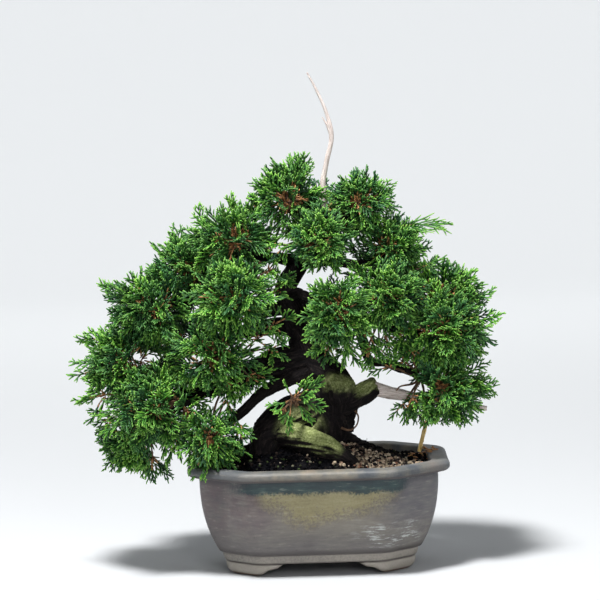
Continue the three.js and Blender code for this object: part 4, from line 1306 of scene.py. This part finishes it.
plastic = Finish("black_plastic", Roughness=0.55)
plastic.feed("Base Color", plastic.colours(
    plastic.noise(plastic.here(POT_MIDDLE), 300.0),
    [(0.3, (0.008, 0.009, 0.008)), (0.7, (0.018, 0.019, 0.017))],
))
aluminium = Finish("soft_aluminium_wire", Metallic=1.0)
tarnish = aluminium.noise(aluminium.here(POT_MIDDLE), 400.0, 3.0)
aluminium.feed("Base Color", aluminium.colours(
    tarnish, [(0.3, (0.30, 0.30, 0.29)), (0.7, (0.55, 0.55, 0.53))]
))
aluminium.feed("Roughness", 0.3 + 0.25 * tarnish)


def bar(middle, size):
    """A rounded bar with its length along X or Y."""
    middle, size = np.array(middle, float), np.array(size, float)
    lengthways = int(size[1] > size[0])
    ends = [middle.copy(), middle.copy()]
    ends[0][lengthways] -= size[lengthways] / 2
    ends[1][lengthways] += size[lengthways] / 2
    points, faces = tube(np.linspace(ends[0], ends[1], 3), (1.0, 1.0), 12)
    flat = points - middle
    cross = 1 - lengthways
    for axis, half in ((cross, size[cross] / 2), (2, size[2] / 2)):
        flat[:, axis] = np.clip(flat[:, axis] * 1.3, -1, 1) * half
    return middle + flat, faces


for name, x_at in (("left", -DRAIN_SPACING / 2), ("right", DRAIN_SPACING / 2)):
    bars = []
    for k in range(MESH_BARS):
        shift = (k - (MESH_BARS - 1) / 2) * mesh_pitch
        bars.append(bar((x_at + shift, 0, mesh_middle), (MESH_BAR, mesh_side, MESH_THICKNESS)))
        bars.append(bar((x_at, shift, mesh_middle), (mesh_side, MESH_BAR, MESH_THICKNESS)))
    points, faces = joined(bars)
    new_piece("drain_cover_" + name, place(points), faces, plastic, "mesh_plastic", ["drain_mesh_" + name])
    wire_top = mesh_middle + MESH_THICKNESS / 2 + GAP + WIRE_RADIUS
    wire_foot = FOOT_HEIGHT - GAP - WIRE_RADIUS
    leg = [(wire_leg - 0.9, wire_top), (wire_leg, mesh_middle), (wire_leg, FLOOR_TOP),
           (wire_leg, wire_foot + 1.5), (wire_leg + 1.5, wire_foot), (DRAIN_RADIUS + 5, wire_foot)]
    route = [(x_at - a, 0, h) for a, h in leg[::-1]] + [(x_at, 0, wire_top)]
    route += [(x_at + a, 0, h) for a, h in leg]
    points, faces = tube(smooth_path(route, 0.6), (WIRE_RADIUS, WIRE_RADIUS), 12)
    new_piece("cover_wire_" + name, place(points), faces, aluminium, "wire", ["mesh_wire_" + name])

layer = []
PUMICE_PITCH = 3.9
for level in (FLOOR_TOP + 2.4, FLOOR_TOP + 6.3):
    reach = np.arange(-64, 65, PUMICE_PITCH)
    grid = np.array([(px, py) for px in reach for py in reach if abs(py) < 46])
    grid = grid + SOIL_RANDOM.uniform(-0.8, 0.8, grid.shape)
    grid = grid[inside_pot(grid, body_inset(FLOOR_TOP) + WALL + 2.3)]
    for side in (-1, 1):
        clear = np.abs(grid - (side * DRAIN_SPACING / 2, 0)).max(1) > mesh_side / 2 + 2.4
        grid = grid[clear | (level > FLOOR_TOP + 5)]
    layer.append(np.column_stack([grid, np.full(len(grid), level)]))
layer = np.concatenate(layer)
scattered(
    "pumice", layer, tumbled(len(layer)),
    SOIL_RANDOM.uniform(1.7, 2.3, (len(layer), 3)), 0.5 + 0.4 * SOIL_RANDOM.random(len(layer)),
    crumb_shape, grit_finish, ["drainage_layer"], smooth=False,
)


# ---------------------------------------------------------------- stake
# A splinter of bamboo about as thick as a match, pushed into the soil to hold a low branch.

cane = Finish("split_bamboo", Roughness=0.45)
fibres = cane.noise(cane.here(POT_MIDDLE, (1.0, 1.0, 0.12)), 1500.0, 3.0, 0.6)
cane.feed("Base Color", cane.colours(
    fibres, [(0.3, (0.55, 0.34, 0.09)), (0.5, (0.85, 0.60, 0.22)), (0.7, (0.95, 0.76, 0.40))]
))
cane.bump(fibres, 0.0003)
foot, head = lifted([(65, 20, 2), (71.5, 20, 26)])
run = unit(head - foot)
broad = unit(np.cross((0, 1, 0), run))
thick = np.cross(run, broad)
HALF_ROUND = [
    (-1.3, -0.5), (-1.0, -0.75), (0.0, -0.8), (1.0, -0.75), (1.3, -0.5), (1.15, 0.25),
    (0.65, 0.65), (0.06, 0.5), (0.0, 0.2), (-0.06, 0.5), (-0.65, 0.65), (-1.15, 0.25),
]
STEPS = 14
points = []
for k in range(STEPS):
    t = k / (STEPS - 1)
    node_swell = 1 + 0.10 * math.exp(-(((t - 0.55) / 0.04) ** 2)) - 0.05 * (k in (0, STEPS - 1))
    for a, b in HALF_ROUND:
        points.append(foot + (head - foot) * t + broad * a * node_swell - thick * b * node_swell)
faces = capped(STEPS, len(HALF_ROUND))
new_piece("bamboo_stake", place(points), faces, cane, "splint", ["stake"], smooth=False)
